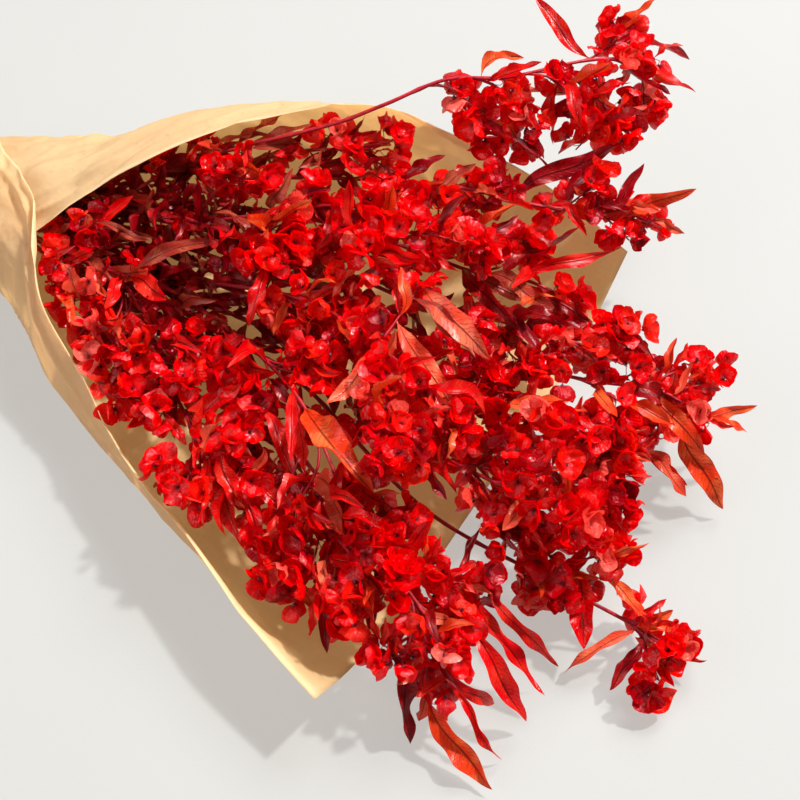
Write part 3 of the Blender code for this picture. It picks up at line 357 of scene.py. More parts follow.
# The flowering stems as they lie in the bunch. A stem's points run from the wrap's narrow end to the tip.
# A branchlet's points are where its capsules cluster. A leaf has its root, its tip, its width and its tone.
SPRAYS = {
    "spray_01": {
        "stem": [(-250, 56, 64), (-145, 112, 112), (-110, 143, 127), (-80, 178, 138), (-45, 200, 140),
            (-5, 240, 143), (30, 272, 135)],
        "branches": [[(-60, 180, 120), (-45, 170, 110)], [(-35, 195, 125), (-20, 185, 115)],
            [(-5, 220, 130), (10, 230, 135)], [(20, 225, 120), (10, 200, 110)], [(0, 275, 140)],
            [(30, 255, 130), (35, 245, 120)], [(30, 225, 115)]],
        "leaves": [((-10, 245, 140), (-60, 260, 160), 14, "red"),
            ((-50, 180, 120), (10, 170, 105), 16, "dark"),
            ((0, 255, 140), (45, 305, 110), 14, "dark")],
    },
    "spray_02": {
        "stem": [(-125, 100, 85), (-80, 120, 90), (-35, 135, 95), (20, 155, 90), (65, 190, 85)],
        "branches": [[(-15, 145, 100)], [(-25, 130, 90)], [(25, 155, 90), (35, 185, 95)], [(65, 175, 70)],
            [(80, 190, 75)], [(-45, 110, 100), (-35, 90, 105)]],
        "leaves": [((-5, 145, 95), (40, 210, 110), 18, "dark"), ((50, 170, 85), (55, 215, 100), 11, "dark"),
            ((50, 170, 85), (95, 220, 90), 18, "orange"), ((-50, 115, 95), (-35, 145, 110), 12, "brown"),
            ((-80, 115, 95), (-60, 145, 105), 12, "dark")],
    },
    "spray_03": {
        "stem": [(-125, 65, 80), (-50, 70, 95), (0, 80, 90), (35, 100, 80), (65, 105, 70)],
        "branches": [[(-25, 65, 130), (0, 75, 120)], [(5, 95, 110)], [(20, 125, 85)], [(-30, 40, 120)]],
        "leaves": [((15, 90, 85), (50, 140, 100), 20, "dark"), ((25, 100, 80), (70, 150, 80), 12, "red"),
            ((0, 80, 90), (40, 85, 80), 14, "brown"), ((40, 95, 80), (85, 95, 75), 14, "dark"),
            ((30, 90, 80), (70, 80, 75), 14, "dark")],
    },
    "spray_04": {
        "stem": [(-195, 80, 75), (-155, 110, 85), (-110, 130, 95)],
        "branches": [[(-135, 130, 100)], [(-100, 140, 100)], [(-95, 125, 90)]],
        "leaves": [((-160, 120, 95), (-180, 85, 95), 12, "brown"),
            ((-150, 110, 90), (-165, 90, 95), 14, "red"),
            ((-130, 110, 90), (-145, 90, 95), 9, "brown")],
    },
    "spray_05": {
        "stem": [(-255, 15, 60), (-225, 55, 80), (-190, 80, 95)],
        "branches": [[(-230, 55, 85)], [(-175, 60, 95), (-160, 70, 95)], [(-210, 75, 90)]],
        "leaves": [((-205, 80, 90), (-175, 105, 95), 9, "brown"),
            ((-190, 80, 95), (-170, 125, 105), 13, "brown")],
    },
    "spray_06": {
        "stem": [(-225, 25, 65), (-160, 20, 90), (-120, 20, 105)],
        "branches": [[(-115, 5, 105)], [(-115, 40, 110)], [(-100, 25, 105)]],
        "leaves": [((-130, 30, 105), (-170, 25, 100), 10, "brown"),
            ((-110, 0, 105), (-100, -35, 90), 14, "red")],
    },
    "spray_07": {
        "stem": [(-200, 25, 65), (-140, 50, 90), (-90, 70, 110), (-40, 60, 130)],
        "branches": [[(-115, 75, 100)], [(-70, 50, 115), (-45, 35, 125)], [(-65, 80, 120)],
            [(-90, 45, 100)], [(-15, 50, 125)]],
        "leaves": [((-70, 40, 115), (-35, 50, 120), 10, "brown"),
            ((-125, 60, 100), (-135, 35, 100), 9, "red")],
    },
    "spray_08": {
        "stem": [(-165, -5, 60), (-90, 0, 90), (-30, -10, 110), (30, -35, 130)],
        "branches": [[(-70, 15, 95)], [(-30, -20, 105)], [(-10, -15, 120), (-10, 25, 125)],
            [(10, -45, 125), (30, -65, 125)], [(50, -40, 130), (60, -60, 120)],
            [(55, -70, 120), (35, -80, 120)]],
        "leaves": [((-10, 0, 130), (60, -40, 130), 18, "salmon"),
            ((-5, 30, 125), (55, 10, 120), 22, "salmon"),
            ((15, 20, 120), (45, 5, 115), 14, "brown"), ((-5, -25, 120), (-10, -75, 120), 14, "salmon")],
    },
    "spray_09": {
        "stem": [(-180, -20, 55), (-105, -40, 80), (-35, -70, 100), (25, -110, 90)],
        "branches": [[(-40, -40, 100)], [(30, -120, 85), (50, -125, 85)], [(-50, -50, 95)],
            [(0, -130, 80), (20, -135, 80)], [(-60, -75, 90)]],
        "leaves": [((-30, -70, 105), (40, -105, 110), 24, "orange"),
            ((-10, -110, 100), (25, -115, 100), 20, "salmon"),
            ((-45, -65, 100), (-15, -110, 100), 11, "red"), ((-35, -70, 100), (-5, -110, 100), 13, "red"),
            ((-30, -65, 100), (10, -75, 100), 12, "red"), ((0, -125, 95), (35, -130, 90), 12, "salmon"),
            ((-75, -110, 85), (-15, -110, 80), 14, "red"), ((-50, -125, 80), (-5, -125, 75), 14, "red"),
            ((-40, -135, 75), (10, -155, 60), 22, "red")],
    },
    "spray_10": {
        "stem": [(-120, 50, 60), (-20, 45, 80), (40, 60, 85), (105, 70, 90)],
        "branches": [[(85, 65, 95)], [(85, 45, 90)], [(110, 90, 95)], [(115, 55, 90)],
            [(60, 35, 90), (75, 50, 95)]],
        "leaves": [((40, 35, 90), (60, 50, 90), 12, "brown"), ((50, 60, 85), (80, 75, 90), 18, "dark")],
    },
    "spray_11": {
        "stem": [(-95, 35, 50), (15, 40, 60), (100, 50, 80), (145, 75, 70), (180, 80, 55)],
        "branches": [[(145, 90, 70), (155, 105, 65)], [(170, 105, 60)], [(160, 75, 60)], [(130, 45, 85)],
            [(130, 75, 85)]],
        "leaves": [((125, 60, 80), (155, 70, 70), 20, "dark"),
            ((105, 20, 100), (140, 25, 100), 12, "orange"),
            ((135, 40, 85), (165, 50, 80), 14, "orange"), ((170, 90, 55), (200, 115, 45), 11, "orange"),
            ((145, 55, 65), (190, 60, 50), 18, "orange"), ((180, 70, 50), (205, 95, 40), 9, "orange"),
            ((175, 60, 50), (215, 55, 10), 22, "orange")],
    },
    "spray_12": {
        "stem": [(-75, 25, 45), (40, 10, 60), (115, 10, 80), (155, 35, 60)],
        "branches": [[(105, 5, 100), (125, 5, 95)], [(135, 10, 80), (150, 10, 55)], [(155, 45, 60)],
            [(65, 5, 90)], [(135, 25, 85)]],
        "leaves": [((155, 30, 40), (190, 35, 30), 16, "salmon"), ((165, 35, 45), (185, 45, 30), 10, "red"),
            ((50, 5, 90), (75, 10, 90), 12, "dark")],
    },
    "spray_13": {
        "stem": [(-80, -5, 40), (35, -40, 70), (95, -50, 90), (135, -45, 90)],
        "branches": [[(115, -45, 105), (125, -25, 105)], [(90, -35, 100)],
            [(150, -20, 70), (160, -10, 55)], [(145, -50, 85)], [(100, -60, 80), (115, -70, 70)],
            [(135, -60, 60)]],
        "leaves": [((120, -15, 105), (140, -40, 90), 10, "orange"),
            ((120, -55, 95), (115, -75, 85), 14, "salmon"),
            ((75, -40, 90), (75, -65, 85), 12, "dark")],
    },
    "spray_14": {
        "stem": [(-70, -25, 35), (50, -65, 40), (145, -70, 46), (205, -60, 25), (230, -65, 15)],
        "branches": [[(165, -45, 55), (175, -35, 50)], [(145, -75, 35)], [(170, -55, 45)],
            [(235, -55, 15)], [(230, -85, 10)], [(220, -60, 25)]],
        "leaves": [((155, -55, 55), (185, -90, 25), 22, "red"),
            ((205, -70, 25), (180, -105, 10), 13, "salmon"),
            ((180, -45, 40), (210, -55, 30), 12, "orange"), ((205, -75, 20), (210, -100, 10), 12, "dark"),
            ((210, -55, 25), (220, -40, 30), 11, "orange")],
    },
    "spray_15": {
        "stem": [(-110, -47, 37), (0, -95, 60), (85, -135, 75), (120, -150, 60)],
        "branches": [[(85, -115, 80)], [(100, -165, 55), (90, -160, 60)], [(130, -160, 40)],
            [(120, -130, 60)], [(120, -170, 35)], [(115, -105, 65)]],
        "leaves": [((120, -170, 30), (180, -190, 5), 20, "orange"),
            ((115, -115, 60), (175, -125, 15), 14, "red"),
            ((120, -105, 60), (175, -105, 20), 12, "red"), ((120, -125, 55), (175, -145, 10), 18, "red"),
            ((125, -140, 45), (155, -145, 15), 13, "red"), ((135, -140, 35), (175, -175, 5), 8, "red"),
            ((80, -165, 55), (120, -195, 5), 16, "dark"), ((105, -180, 40), (120, -180, 15), 12, "salmon"),
            ((90, -95, 70), (95, -70, 65), 7, "dark")],
    },
    "spray_16": {
        "stem": [(-125, -59, 42), (-35, -100, 60), (45, -135, 80), (75, -150, 85)],
        "branches": [[(40, -165, 65), (55, -170, 60)], [(25, -165, 65)], [(80, -140, 90)],
            [(65, -160, 80)], [(25, -150, 70)], [(70, -110, 90)], [(95, -115, 75)]],
        "leaves": [((55, -155, 60), (75, -195, 10), 15, "dark"),
            ((65, -140, 85), (85, -165, 60), 10, "red"),
            ((30, -140, 80), (50, -135, 75), 14, "red"), ((100, -100, 60), (105, -90, 60), 7, "red")],
    },
    "spray_17": {
        "stem": [(-205, -35, 40), (-130, -85, 60), (-70, -125, 80)],
        "branches": [[(-75, -145, 70), (-90, -140, 70)], [(-60, -145, 70)], [(-50, -135, 75)],
            [(-65, -120, 85)], [(-115, -110, 75)], [(-60, -95, 80)]],
        "leaves": [((-105, -100, 85), (-75, -75, 95), 18, "red"),
            ((-120, -110, 75), (-90, -120, 70), 10, "red"),
            ((-70, -130, 70), (-20, -160, 60), 14, "red")],
    },
    "spray_18": {
        "stem": [(-225, -25, 50), (-165, -55, 70), (-115, -70, 90)],
        "branches": [[(-115, -90, 90)], [(-180, -80, 75), (-160, -75, 75)],
            [(-170, -110, 60), (-140, -105, 70)], [(-85, -70, 90)]],
        "leaves": [((-115, -60, 90), (-60, -60, 95), 26, "red"),
            ((-160, -105, 65), (-150, -115, 40), 11, "red"),
            ((-170, -50, 85), (-135, -55, 85), 10, "dark")],
    },
    "spray_19": {
        "stem": [(-305, -25, 42), (-250, -35, 58), (-200, -35, 72)],
        "branches": [[(-245, -50, 75)], [(-240, -20, 85)], [(-275, -35, 60)], [(-220, -55, 70)]],
        "leaves": [((-235, -60, 75), (-220, -65, 65), 16, "salmon"),
            ((-205, -30, 85), (-190, -70, 80), 12, "red"),
            ((-195, -25, 90), (-160, -45, 85), 20, "red"), ((-240, -10, 85), (-195, -15, 90), 8, "brown"),
            ((-195, -10, 90), (-150, 10, 95), 13, "brown")],
    },
    "spray_20": {
        "stem": [(-140, 15, 30), (-20, -10, 35), (80, -10, 35), (140, 0, 30)],
        "branches": [[(0, -15, 50), (25, -20, 52)], [(55, -10, 60)], [(95, 5, 50)], [(135, 25, 35)],
            [(-10, -40, 60)]],
        "leaves": [((40, -10, 60), (75, -10, 65), 14, "dark"), ((95, -15, 50), (130, -10, 45), 14, "dark")],
    },
    "spray_21": {
        "stem": [(-185, -10, 25), (-75, -65, 30), (25, -110, 35), (95, -125, 25)],
        "branches": [[(-35, -62, 56)], [(-60, -95, 55)], [(30, -85, 60), (50, -90, 60)], [(40, -140, 40)],
            [(95, -115, 35)]],
        "leaves": [((-5, -85, 60), (40, -95, 60), 14, "dark")],
    },
}

# More clusters and leaves than the plain solids carry, where the bunch is dense. Written as in SPRAYS.
MORE_CLUSTERS = {
    "spray_08": [(-89, -9, 80), (-68, -8, 78), (-50, 12, 100)],
    "spray_09": [(-14, -146, 62)],
    "spray_10": [(28, 57, 98), (46, 60, 96)],
    "spray_12": [(20, 10, 92), (48, 6, 96), (72, 6, 90), (93, 9, 92)],
    "spray_13": [(40, -20, 80), (60, -30, 80)],
    "spray_14": [(228, -70, 30), (221, -52, 32)],
    "spray_16": [(6, -158, 62), (10, -130, 80)],
    "spray_17": [(-37, -120, 76), (-30, -136, 70)],
    "spray_18": [(-205, -78, 62), (-186, -92, 62)],
    "spray_19": [(-224, -66, 62)],
}
MORE_LEAVES = {
    "spray_01": [((-190, 92, 98), (-150, 118, 108), 12, "brown")],
    "spray_03": [((0, 60, 100), (52, 50, 102), 16, "dark"), ((15, 68, 98), (65, 76, 94), 15, "brown")],
    "spray_10": [((30, 52, 96), (75, 40, 98), 15, "dark"), ((40, 62, 94), (88, 74, 92), 14, "dark")],
    "spray_12": [((60, 12, 92), (105, 22, 98), 13, "orange")],
    "spray_17": [((-50, -118, 80), (-14, -148, 66), 20, "red"),
        ((-60, -110, 84), (-34, -142, 72), 17, "red")],
}


def smooth_line(points, spacing=None, steps=1):
    """A smooth curve through the given points, by a spacing or by a number of steps for each span."""
    ends = [points[0] * 2 - points[1]] + points + [points[-1] * 2 - points[-2]]
    line = [points[0]]
    for before, start, end, after in zip(ends, ends[1:], ends[2:], ends[3:]):
        if spacing:
            steps = max(1, round((end - start).length / spacing))
        for step in range(1, steps + 1):
            line.append(curve_point(before, start, end, after, step / steps))
    return line


def curve_point(before, start, end, after, t):
    """A point of the Catmull-Rom curve from start to end."""
    return 0.5 * (
        2 * start
        + (end - before) * t
        + (2 * before - 5 * start + 4 * end - after) * t * t
        + (3 * start - before - 3 * end + after) * t * t * t
    )


def nearest_on_line(line, point):
    """The nearest point on a line of points, its distance along the line, and the gap to it."""
    best = None
    travelled = 0.0
    for start, end in zip(line, line[1:]):
        along = end - start
        share = min(max((point - start).dot(along) / along.length_squared, 0.0), 1.0)
        place = start + along * share
        gap = (point - place).length
        if best is None or gap < best[2]:
            best = (place, travelled + along.length * share, gap)
        travelled += along.length
    return best


def point_at_length(line, length):
    """The point at a distance along a line of points, and the direction there."""
    length = max(length, 0.0)
    for start, end in zip(line, line[1:]):
        along = end - start
        if length <= along.length:
            return start + along * (length / along.length), along.normalized()
        length -= along.length
    return line[-1], (line[-1] - line[-2]).normalized()


def along_line(line, step):
    """Lengths along a line, a step apart, with the points there."""
    whole = sum((b - a).length for a, b in zip(line, line[1:]))
    return [(n * step, point_at_length(line, n * step)[0]) for n in range(1, int(whole / step))]


def bundle_slots(count):
    """The places (y, z) of a closely packed bundle of stems, from the middle outwards."""
    reach = range(-4, 5)
    places = [((i + 0.5 * j) * SLOT_PITCH, j * SLOT_ROW_PITCH) for i in reach for j in reach]
    places.sort(key=lambda p: (round(math.hypot(*p) / SLOT_PITCH, 3), math.atan2(p[1], p[0])))
    return places[:count]


def share_slots(headings):
    """A slot for each heading, so that stems which fan out along their headings don't cross."""
    slots = bundle_slots(len(headings))
    order = sorted(range(len(headings)), key=lambda i: headings[i].length)
    given = dict(zip(order, slots))
    swapped = True
    while swapped:
        swapped = False
        for a in range(len(headings)):
            for b in range(a):
                apart = Vector(given[a]) - Vector(given[b])
                if apart.dot(headings[a] - headings[b]) < 0:
                    given[a], given[b] = given[b], given[a]
                    swapped = True
    return [given[i] for i in range(len(headings))]


def stem_lines():
    """The middle line of each main stem, from its cut end through the neck to its tip."""
    names = sorted(SPRAYS)
    shown = [[Vector(p) * MM for p in SPRAYS[name]["stem"]] for name in names]
    headings = [Vector((p[0].y, p[0].z - NECK_Z)) / (p[0].x - FAN_START_X) for p in shown]
    lines = {}
    for number, (name, slot) in enumerate(zip(names, share_slots(headings))):
        cut_x = CUT_END_X - CUT_END_SPREAD * (number * 5 % 7) / 7
        neck = [Vector((x, slot[0], NECK_Z + slot[1])) for x in (cut_x, NECK_X, FAN_START_X)]
        fan = [neck[-1].lerp(shown[number][0], share) for share in FAN_SHARES]
        lines[name] = neck[:1] + smooth_line(neck[1:] + fan + shown[number], WOOD_STEP)
    return lines


def branch_line(stem, points):
    """A branchlet's middle line: it leaves the stem at a narrow angle and runs through its points."""
    first = points[0]
    _, length, gap = nearest_on_line(stem, first)
    root, heading = point_at_length(stem, length - BRANCH_LEAN * gap - BRANCH_SETBACK)
    ahead = root + heading * (BRANCH_AHEAD * (first - root).length)
    elbow = ahead.lerp(root.lerp(first, 0.5), 0.5)
    overrun = (points[-1] - elbow).normalized() * BRANCH_OVERRUN
    return smooth_line([root, elbow] + points[:-1] + [points[-1] + overrun], WOOD_STEP)


class Shapes:
    """Shapes gathered for one mesh. Each point has a place: along and across its shape, and a shade."""

    def __init__(self):
        self.points = []
        self.places = []
        self.faces = []
        self.looks = []
        self.count = 0

    def add(self, points, faces, places, look=0):
        self.points.append(np.asarray(points, float))
        self.places.append(np.asarray(places, float))
        self.faces += (np.asarray(faces) + self.count).tolist()
        self.looks += [look] * len(faces)
        self.count += len(points)

    def make(self, name, looks, slot, *nodes):
        """The mesh object of all the shapes, riding the body in place of the named nodes."""
        mesh = bpy.data.meshes.new(name)
        mesh.from_pydata(np.concatenate(self.points).tolist(), [], self.faces)
        places = mesh.attributes.new("place", "FLOAT_VECTOR", "POINT")
        places.data.foreach_set("vector", np.concatenate(self.places).ravel())
        for look in looks:
            mesh.materials.append(look)
        mesh.polygons.foreach_set("material_index", self.looks)
        mesh.polygons.foreach_set("use_smooth", [True] * len(self.faces))
        mesh.update()
        piece = bpy.data.objects.new(name, mesh)
        bpy.context.scene.collection.objects.link(piece)
        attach(piece, "root")
        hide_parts(*nodes)
        return piece


def grid_faces(rows, columns, closed=False):
    """The four-sided faces of a grid of points, its columns joined round if it is closed."""
    across = np.arange(columns if closed else columns - 1)
    a = (np.arange(rows - 1)[:, None] * columns + across).ravel()
    b = (np.arange(rows - 1)[:, None] * columns + (across + 1) % columns).ravel()
    return np.stack([a, b, b + columns, a + columns], 1)


def unit(vectors):
    return vectors / np.maximum(np.linalg.norm(vectors, axis=-1, keepdims=True), 1e-12)


def tube_grid(line, radii, sides):
    """A tube's points along a line, ring by ring."""
    line = np.array(line)
    heading = unit(np.gradient(line, axis=0))
    side = unit(np.cross(heading[0], (0.1, 0.2, 1.0)))
    angles = np.arange(sides) * math.tau / sides
    rings = []
    for place, ahead, radius in zip(line, heading, radii):
        side = unit(side - ahead * side.dot(ahead))
        other = np.cross(ahead, side)
        round_about = np.cos(angles)[:, None] * side + np.sin(angles)[:, None] * other
        rings.append(place + radius * round_about)
    return np.concatenate(rings)


def add_tube(shapes, line, radii, sides, look=0, shade=0.5, cap=None):
    """Adds a tube, both ends closed by a flat cap, in another look where one is given for it."""
    points = tube_grid(line, radii, sides)
    rows = len(line)
    places = np.zeros((rows * sides, 3))
    places[:, 0] = np.repeat(np.linspace(0, 1, rows), sides)
    places[:, 1] = np.tile(np.linspace(0, 1, sides), rows)
    places[:, 2] = shade
    shapes.add(points, grid_faces(rows, sides, closed=True), places, look)
    cap_look = look if cap is None else cap
    fan = [(sides, (i + 1) % sides, i) for i in range(sides)]
    for ring, point in ((points[:sides], line[0]), (points[-sides:][::-1], line[-1])):
        hub = np.array(point)[None]
        shapes.add(np.concatenate([ring, hub]), fan, np.full((sides + 1, 3), shade), cap_look)


def aim(direction, normal):
    """A turn that takes +X to a direction, and +Z as near as it can to a normal."""
    x = direction.normalized()
    y = normal.cross(x).normalized()
    return Matrix((x, y, x.cross(y))).transposed()


def turned(points, turn, start):
    return points @ np.array(turn).T + np.array(start)


# The paper sheet


def fine_paper():
    """The sheet's points, as a grid of its length by its width."""
    rows = []
    for x, section in PAPER_SECTIONS:
        outline = [Vector((x, *p)) * MM for p in section]
        if len(outline) < PAPER_COLUMNS:
            outline = smooth_line(outline, steps=PAPER_STEPS)
        rows.append(smooth_line(outline, steps=PAPER_FINE_ACROSS))
    columns = [smooth_line(list(column), steps=PAPER_FINE_ALONG) for column in zip(*rows)]
    return np.array(columns).transpose(1, 0, 2)


def smoothstep(low, high, value):
    share = np.clip((value - low) / (high - low), 0, 1)
    return share * share * (3 - 2 * share)


def grid_normals(grid):
    """The sheet's normals, away from the flowers."""
    along = np.gradient(grid, axis=0)
    across = np.gradient(grid, axis=1)
    return unit(np.cross(along, across))


def crumpled(grid):
    """The sheet with its folds and creases, its pleats at the neck, and its near edge curled out."""
    x, y, z = grid.transpose(2, 0, 1)
    steps = np.linalg.norm(np.diff(grid, axis=1), axis=2)
    arc = np.concatenate([np.zeros((len(grid), 1)), np.cumsum(steps, axis=1)], 1)
    arc = arc - arc[:, -1:]
    lift = np.zeros(x.shape)
    for index in np.ndindex(x.shape):
        lift[index] = fold_height(x[index], arc[index])
    lift *= smoothstep(*FOLDS_SET_IN, x) * (FOLDS_LEAST + (1 - FOLDS_LEAST) * smoothstep(*FOLDS_RISE, z))
    lift += pleat_height(x, y, z)
    lift += EDGE_CURL * (np.clip(1 + arc / EDGE_WIDTH, 0, 1) * smoothstep(*EDGE_SET_IN, x)) ** 2
    lift += ridge_height(x, arc)
    lift += dent_height(x, z, arc)
    grid = grid + grid_normals(grid) * lift[..., None]
    grid[..., 2] = np.maximum(grid[..., 2], 0.0)
    return grid


def fold_height(x, arc):
    """How far the sheet stands out: broad soft folds, sharper creases, and ribs where it is narrow."""
    broad = noise.noise((x * BROAD_FOLDS[0], arc * BROAD_FOLDS[1], 0.3))
    crease = 1 - CREASE_SHARPNESS * abs(noise.noise((x * CREASES[0] + 3, arc * CREASES[1], 5.1)))
    small = 1 - CREASE_SHARPNESS * abs(noise.noise((x * SMALL_CREASES[0] + 8, arc * SMALL_CREASES[1], 2.7)))
    narrow = 1 - smoothstep(*NARROW_FADE, x)
    rib = 1 - abs(math.sin(arc * RIBS + RIB_WANDER * broad + RIB_LEAN * x))
    lift = (BROAD_LIFT[0] + BROAD_LIFT[1] * narrow) * broad
    lift += (CREASE_LIFT[0] + CREASE_LIFT[1] * narrow) * max(crease, 0) ** 4
    return lift + SMALL_CREASE_LIFT * max(small, 0) ** 2 + RIB_LIFT * narrow * rib**3


def pleat_height(x, y, z):
    """The pleats round the neck, flatter under the tie."""
    angle = np.arctan2(z - NECK_Z, y)
    pleats = np.sin(PLEATS * angle + 1.3 * np.sin(4 * angle + 9 * x))
    pleats = pleats + FINE_PLEAT_SHARE * np.sin(FINE_PLEATS * angle + 2.0)
    untied = PLEATS_UNDER_TIE + (1 - PLEATS_UNDER_TIE) * smoothstep(*PLEATS_TIED, np.abs(x - NECK_X))
    return PLEAT_HEIGHT * pleats * (1 - smoothstep(*PLEATS_FADE, x)) * untied * smoothstep(*PLEATS_RISE, z)


def ridge_height(x, arc):
    """The folded ridge that runs beside the near edge."""
    off = arc + RIDGE_FROM_EDGE + RIDGE_WANDER * np.sin(RIDGE_BENDS * x)
    fade = (1 - smoothstep(*RIDGE_FADE, x)) * smoothstep(*RIDGE_SET_IN, x)
    return RIDGE_HEIGHT * np.exp(-((off / RIDGE_WIDTH) ** 2)) * fade


def dent_height(x, z, arc):
    """The crumpled facets where the flap folds over near the neck."""
    fade = smoothstep(*DENTS_SET_IN, x) * (1 - smoothstep(*DENTS_FADE, x)) * smoothstep(*DENTS_RISE, z)
    height = np.zeros(x.shape)
    for index in np.ndindex(x.shape):
        near, second = noise.voronoi((x[index] * FACETS[0], arc[index] * FACETS[1], 0.7))[0][:2]
        height[index] = DENT_HEIGHT * (second - near) - DENT_DEPTH
    return fade * height


def make_paper(look):
    """Makes the sheet, and gives the tree that tells how near it anything is."""
    grid = crumpled(fine_paper())
    rows, columns = grid.shape[:2]
    points, faces = grid.reshape(-1, 3), grid_faces(rows, columns)
    places = np.zeros((rows, columns, 3))
    places[..., 0] = np.linspace(0, 1, rows)[:, None]
    places[..., 1] = np.linspace(0, 1, columns)
    shapes = Shapes()
    shapes.add(points, faces, places.reshape(-1, 3))
    paper = shapes.make("kraft_paper", [look], "paper", "paper_wrap")
    thicken = paper.modifiers.new("thickness", "SOLIDIFY")
    thicken.thickness = PAPER_THICKNESS
    thicken.offset = 1
    return BVHTree.FromPolygons(points.tolist(), faces.tolist())


# The twine


def strand(line, number):
    """One of the three strands twisted round a line."""
    line = np.array(line)
    heading = unit(np.gradient(line, axis=0))
    lengths = np.concatenate([[0], np.cumsum(np.linalg.norm(np.diff(line, axis=0), axis=1))])
    side = unit(np.cross(heading[0], (0.3, 0.2, 1.0)))
    twisted = []
    for place, ahead, length in zip(line, heading, lengths):
        side = unit(side - ahead * side.dot(ahead))
        angle = length / TWINE_LAY * math.tau + number * math.tau / 3
        out = math.cos(angle) * side + math.sin(angle) * np.cross(ahead, side)
        twisted.append(place + STRAND_OFFSET * TWINE_RADIUS * out)
    return [Vector(p) for p in twisted]


def make_twine(look):
    """Three-strand twine wound round the neck, with its knot and two short ends."""
    top = NECK_Z + TWINE_LOOP_RADIUS
    coil = []
    for i in range(TWINE_TURNS * COIL_POINTS + 1):
        angle = math.pi / 2 + math.tau * i / COIL_POINTS
        x = NECK_X + TWINE_PITCH * (i / COIL_POINTS - TWINE_TURNS / 2)
        y, z = TWINE_LOOP_RADIUS * math.cos(angle), TWINE_LOOP_RADIUS * math.sin(angle)
        coil.append(Vector((x, y, NECK_Z + z)))
    loop = []
    for i in range(KNOT_POINTS + 1):
        angle = math.tau * i / KNOT_POINTS
        lift = top + TWINE_RADIUS * (1.0 + 0.35 * math.sin(2 * angle))
        loop.append(Vector((NECK_X + KNOT_RADIUS * math.cos(angle), KNOT_RADIUS * math.sin(angle), lift)))
    ends = []
    for side in (-1, 1):
        across = side * KNOT_RADIUS
        guide = [Vector((NECK_X + a * across, b * across, top + c * TWINE_RADIUS)) for a, b, c in TWINE_END]
        ends.append(smooth_line(guide, TWINE_STEP))
    shapes = Shapes()
    for line in [coil, loop] + ends:
        for number in range(3):
            ply = strand(line, number)
            radii = [STRAND_RADIUS * TWINE_RADIUS] * len(ply)
            add_tube(shapes, ply, radii, STRAND_SIDES, shade=number / 3)
    shapes.make("twine_tie", [look], "twine", "neck_tie")


# Stems, leaves and capsules


def wood_radii(line, first, last, draw):
    """A twig's radius at each point of its line, tapering and swollen at its joints."""
    lengths = np.concatenate([[0], np.cumsum([(b - a).length for a, b in zip(line, line[1:])])])
    radii = np.linspace(first, last, len(line))
    beat = (lengths + draw.uniform(0, NODE_SPACING)) / NODE_SPACING
    return radii * (1 + NODE_SWELL * np.exp(-(((beat % 1) - 0.5) ** 2) / NODE_WIDTH))


def leaf_grid(length, width, draw, rows, columns, wildness):
    """A leaf's points with its root at the origin, along +X and facing +Z, and their places."""
    share = np.linspace(0, 1, rows)[:, None]
    side = np.linspace(-1, 1, columns)[None, :]
    blade = np.clip((share - LEAF_STALK) / (1 - LEAF_STALK), 0, 1)
    fullness, widening, narrowing = LEAF_OUTLINE
    half = width * 0.5 * np.maximum(fullness * blade**widening * (1 - blade) ** narrowing, 0.0)
    beat = share * draw.uniform(*LEAF_EDGE_WAVES) + draw.uniform(0, 6)
    half = half * (1 + LEAF_EDGE_WAVE * np.sin(beat + side))
    half = np.maximum(half, LEAF_LEAST_HALF * (1 - 0.9 * share))
    arch = draw.uniform(*LEAF_ARCH) * wildness
    curl = draw.uniform(*LEAF_CURL) * wildness
    sway = draw.uniform(*LEAF_SWAY) * wildness
    tip = np.clip(share - LEAF_TIP_FROM, 0, 1) ** 1.5
    twist = (draw.uniform(*LEAF_TWIST) * share + draw.uniform(*LEAF_TIP_TWIST) * tip) * wildness
    y = sway * length * (np.sin(math.pi * share) + 0.45 * np.sin(2.4 * math.pi * share))
    z = 4 * arch * share * (1 - share) * length
    z = z + curl * length * np.clip(share - LEAF_CURL_FROM, 0, 1) ** 2
    ruffle = width * draw.uniform(*LEAF_RUFFLE)
    beat = share * draw.uniform(*LEAF_RUFFLES) + draw.uniform(0, 6)
    fold = draw.uniform(*LEAF_FOLD) * wildness
    up = half * fold * np.abs(side) ** 1.3
    up = up + ruffle * side**2 * np.sin(beat + 1.5 * side) * np.sin(math.pi * share)
    out = side * half
    x = np.broadcast_to(share * length, up.shape) - 0.15 * up
    y = y + out * np.cos(twist) - up * np.sin(twist)
    z = z + out * np.sin(twist) + up * np.cos(twist)
    places = np.stack([np.broadcast_to(share, up.shape), np.broadcast_to(side, up.shape), up * 0], -1)
    return np.stack([x, y, z], -1).reshape(-1, 3), places.reshape(-1, 3)


def facing(leans, draw):
    """A way up that leans at random within two spans."""
    return Vector((draw.uniform(*leans[0]), draw.uniform(*leans[1]), 1))


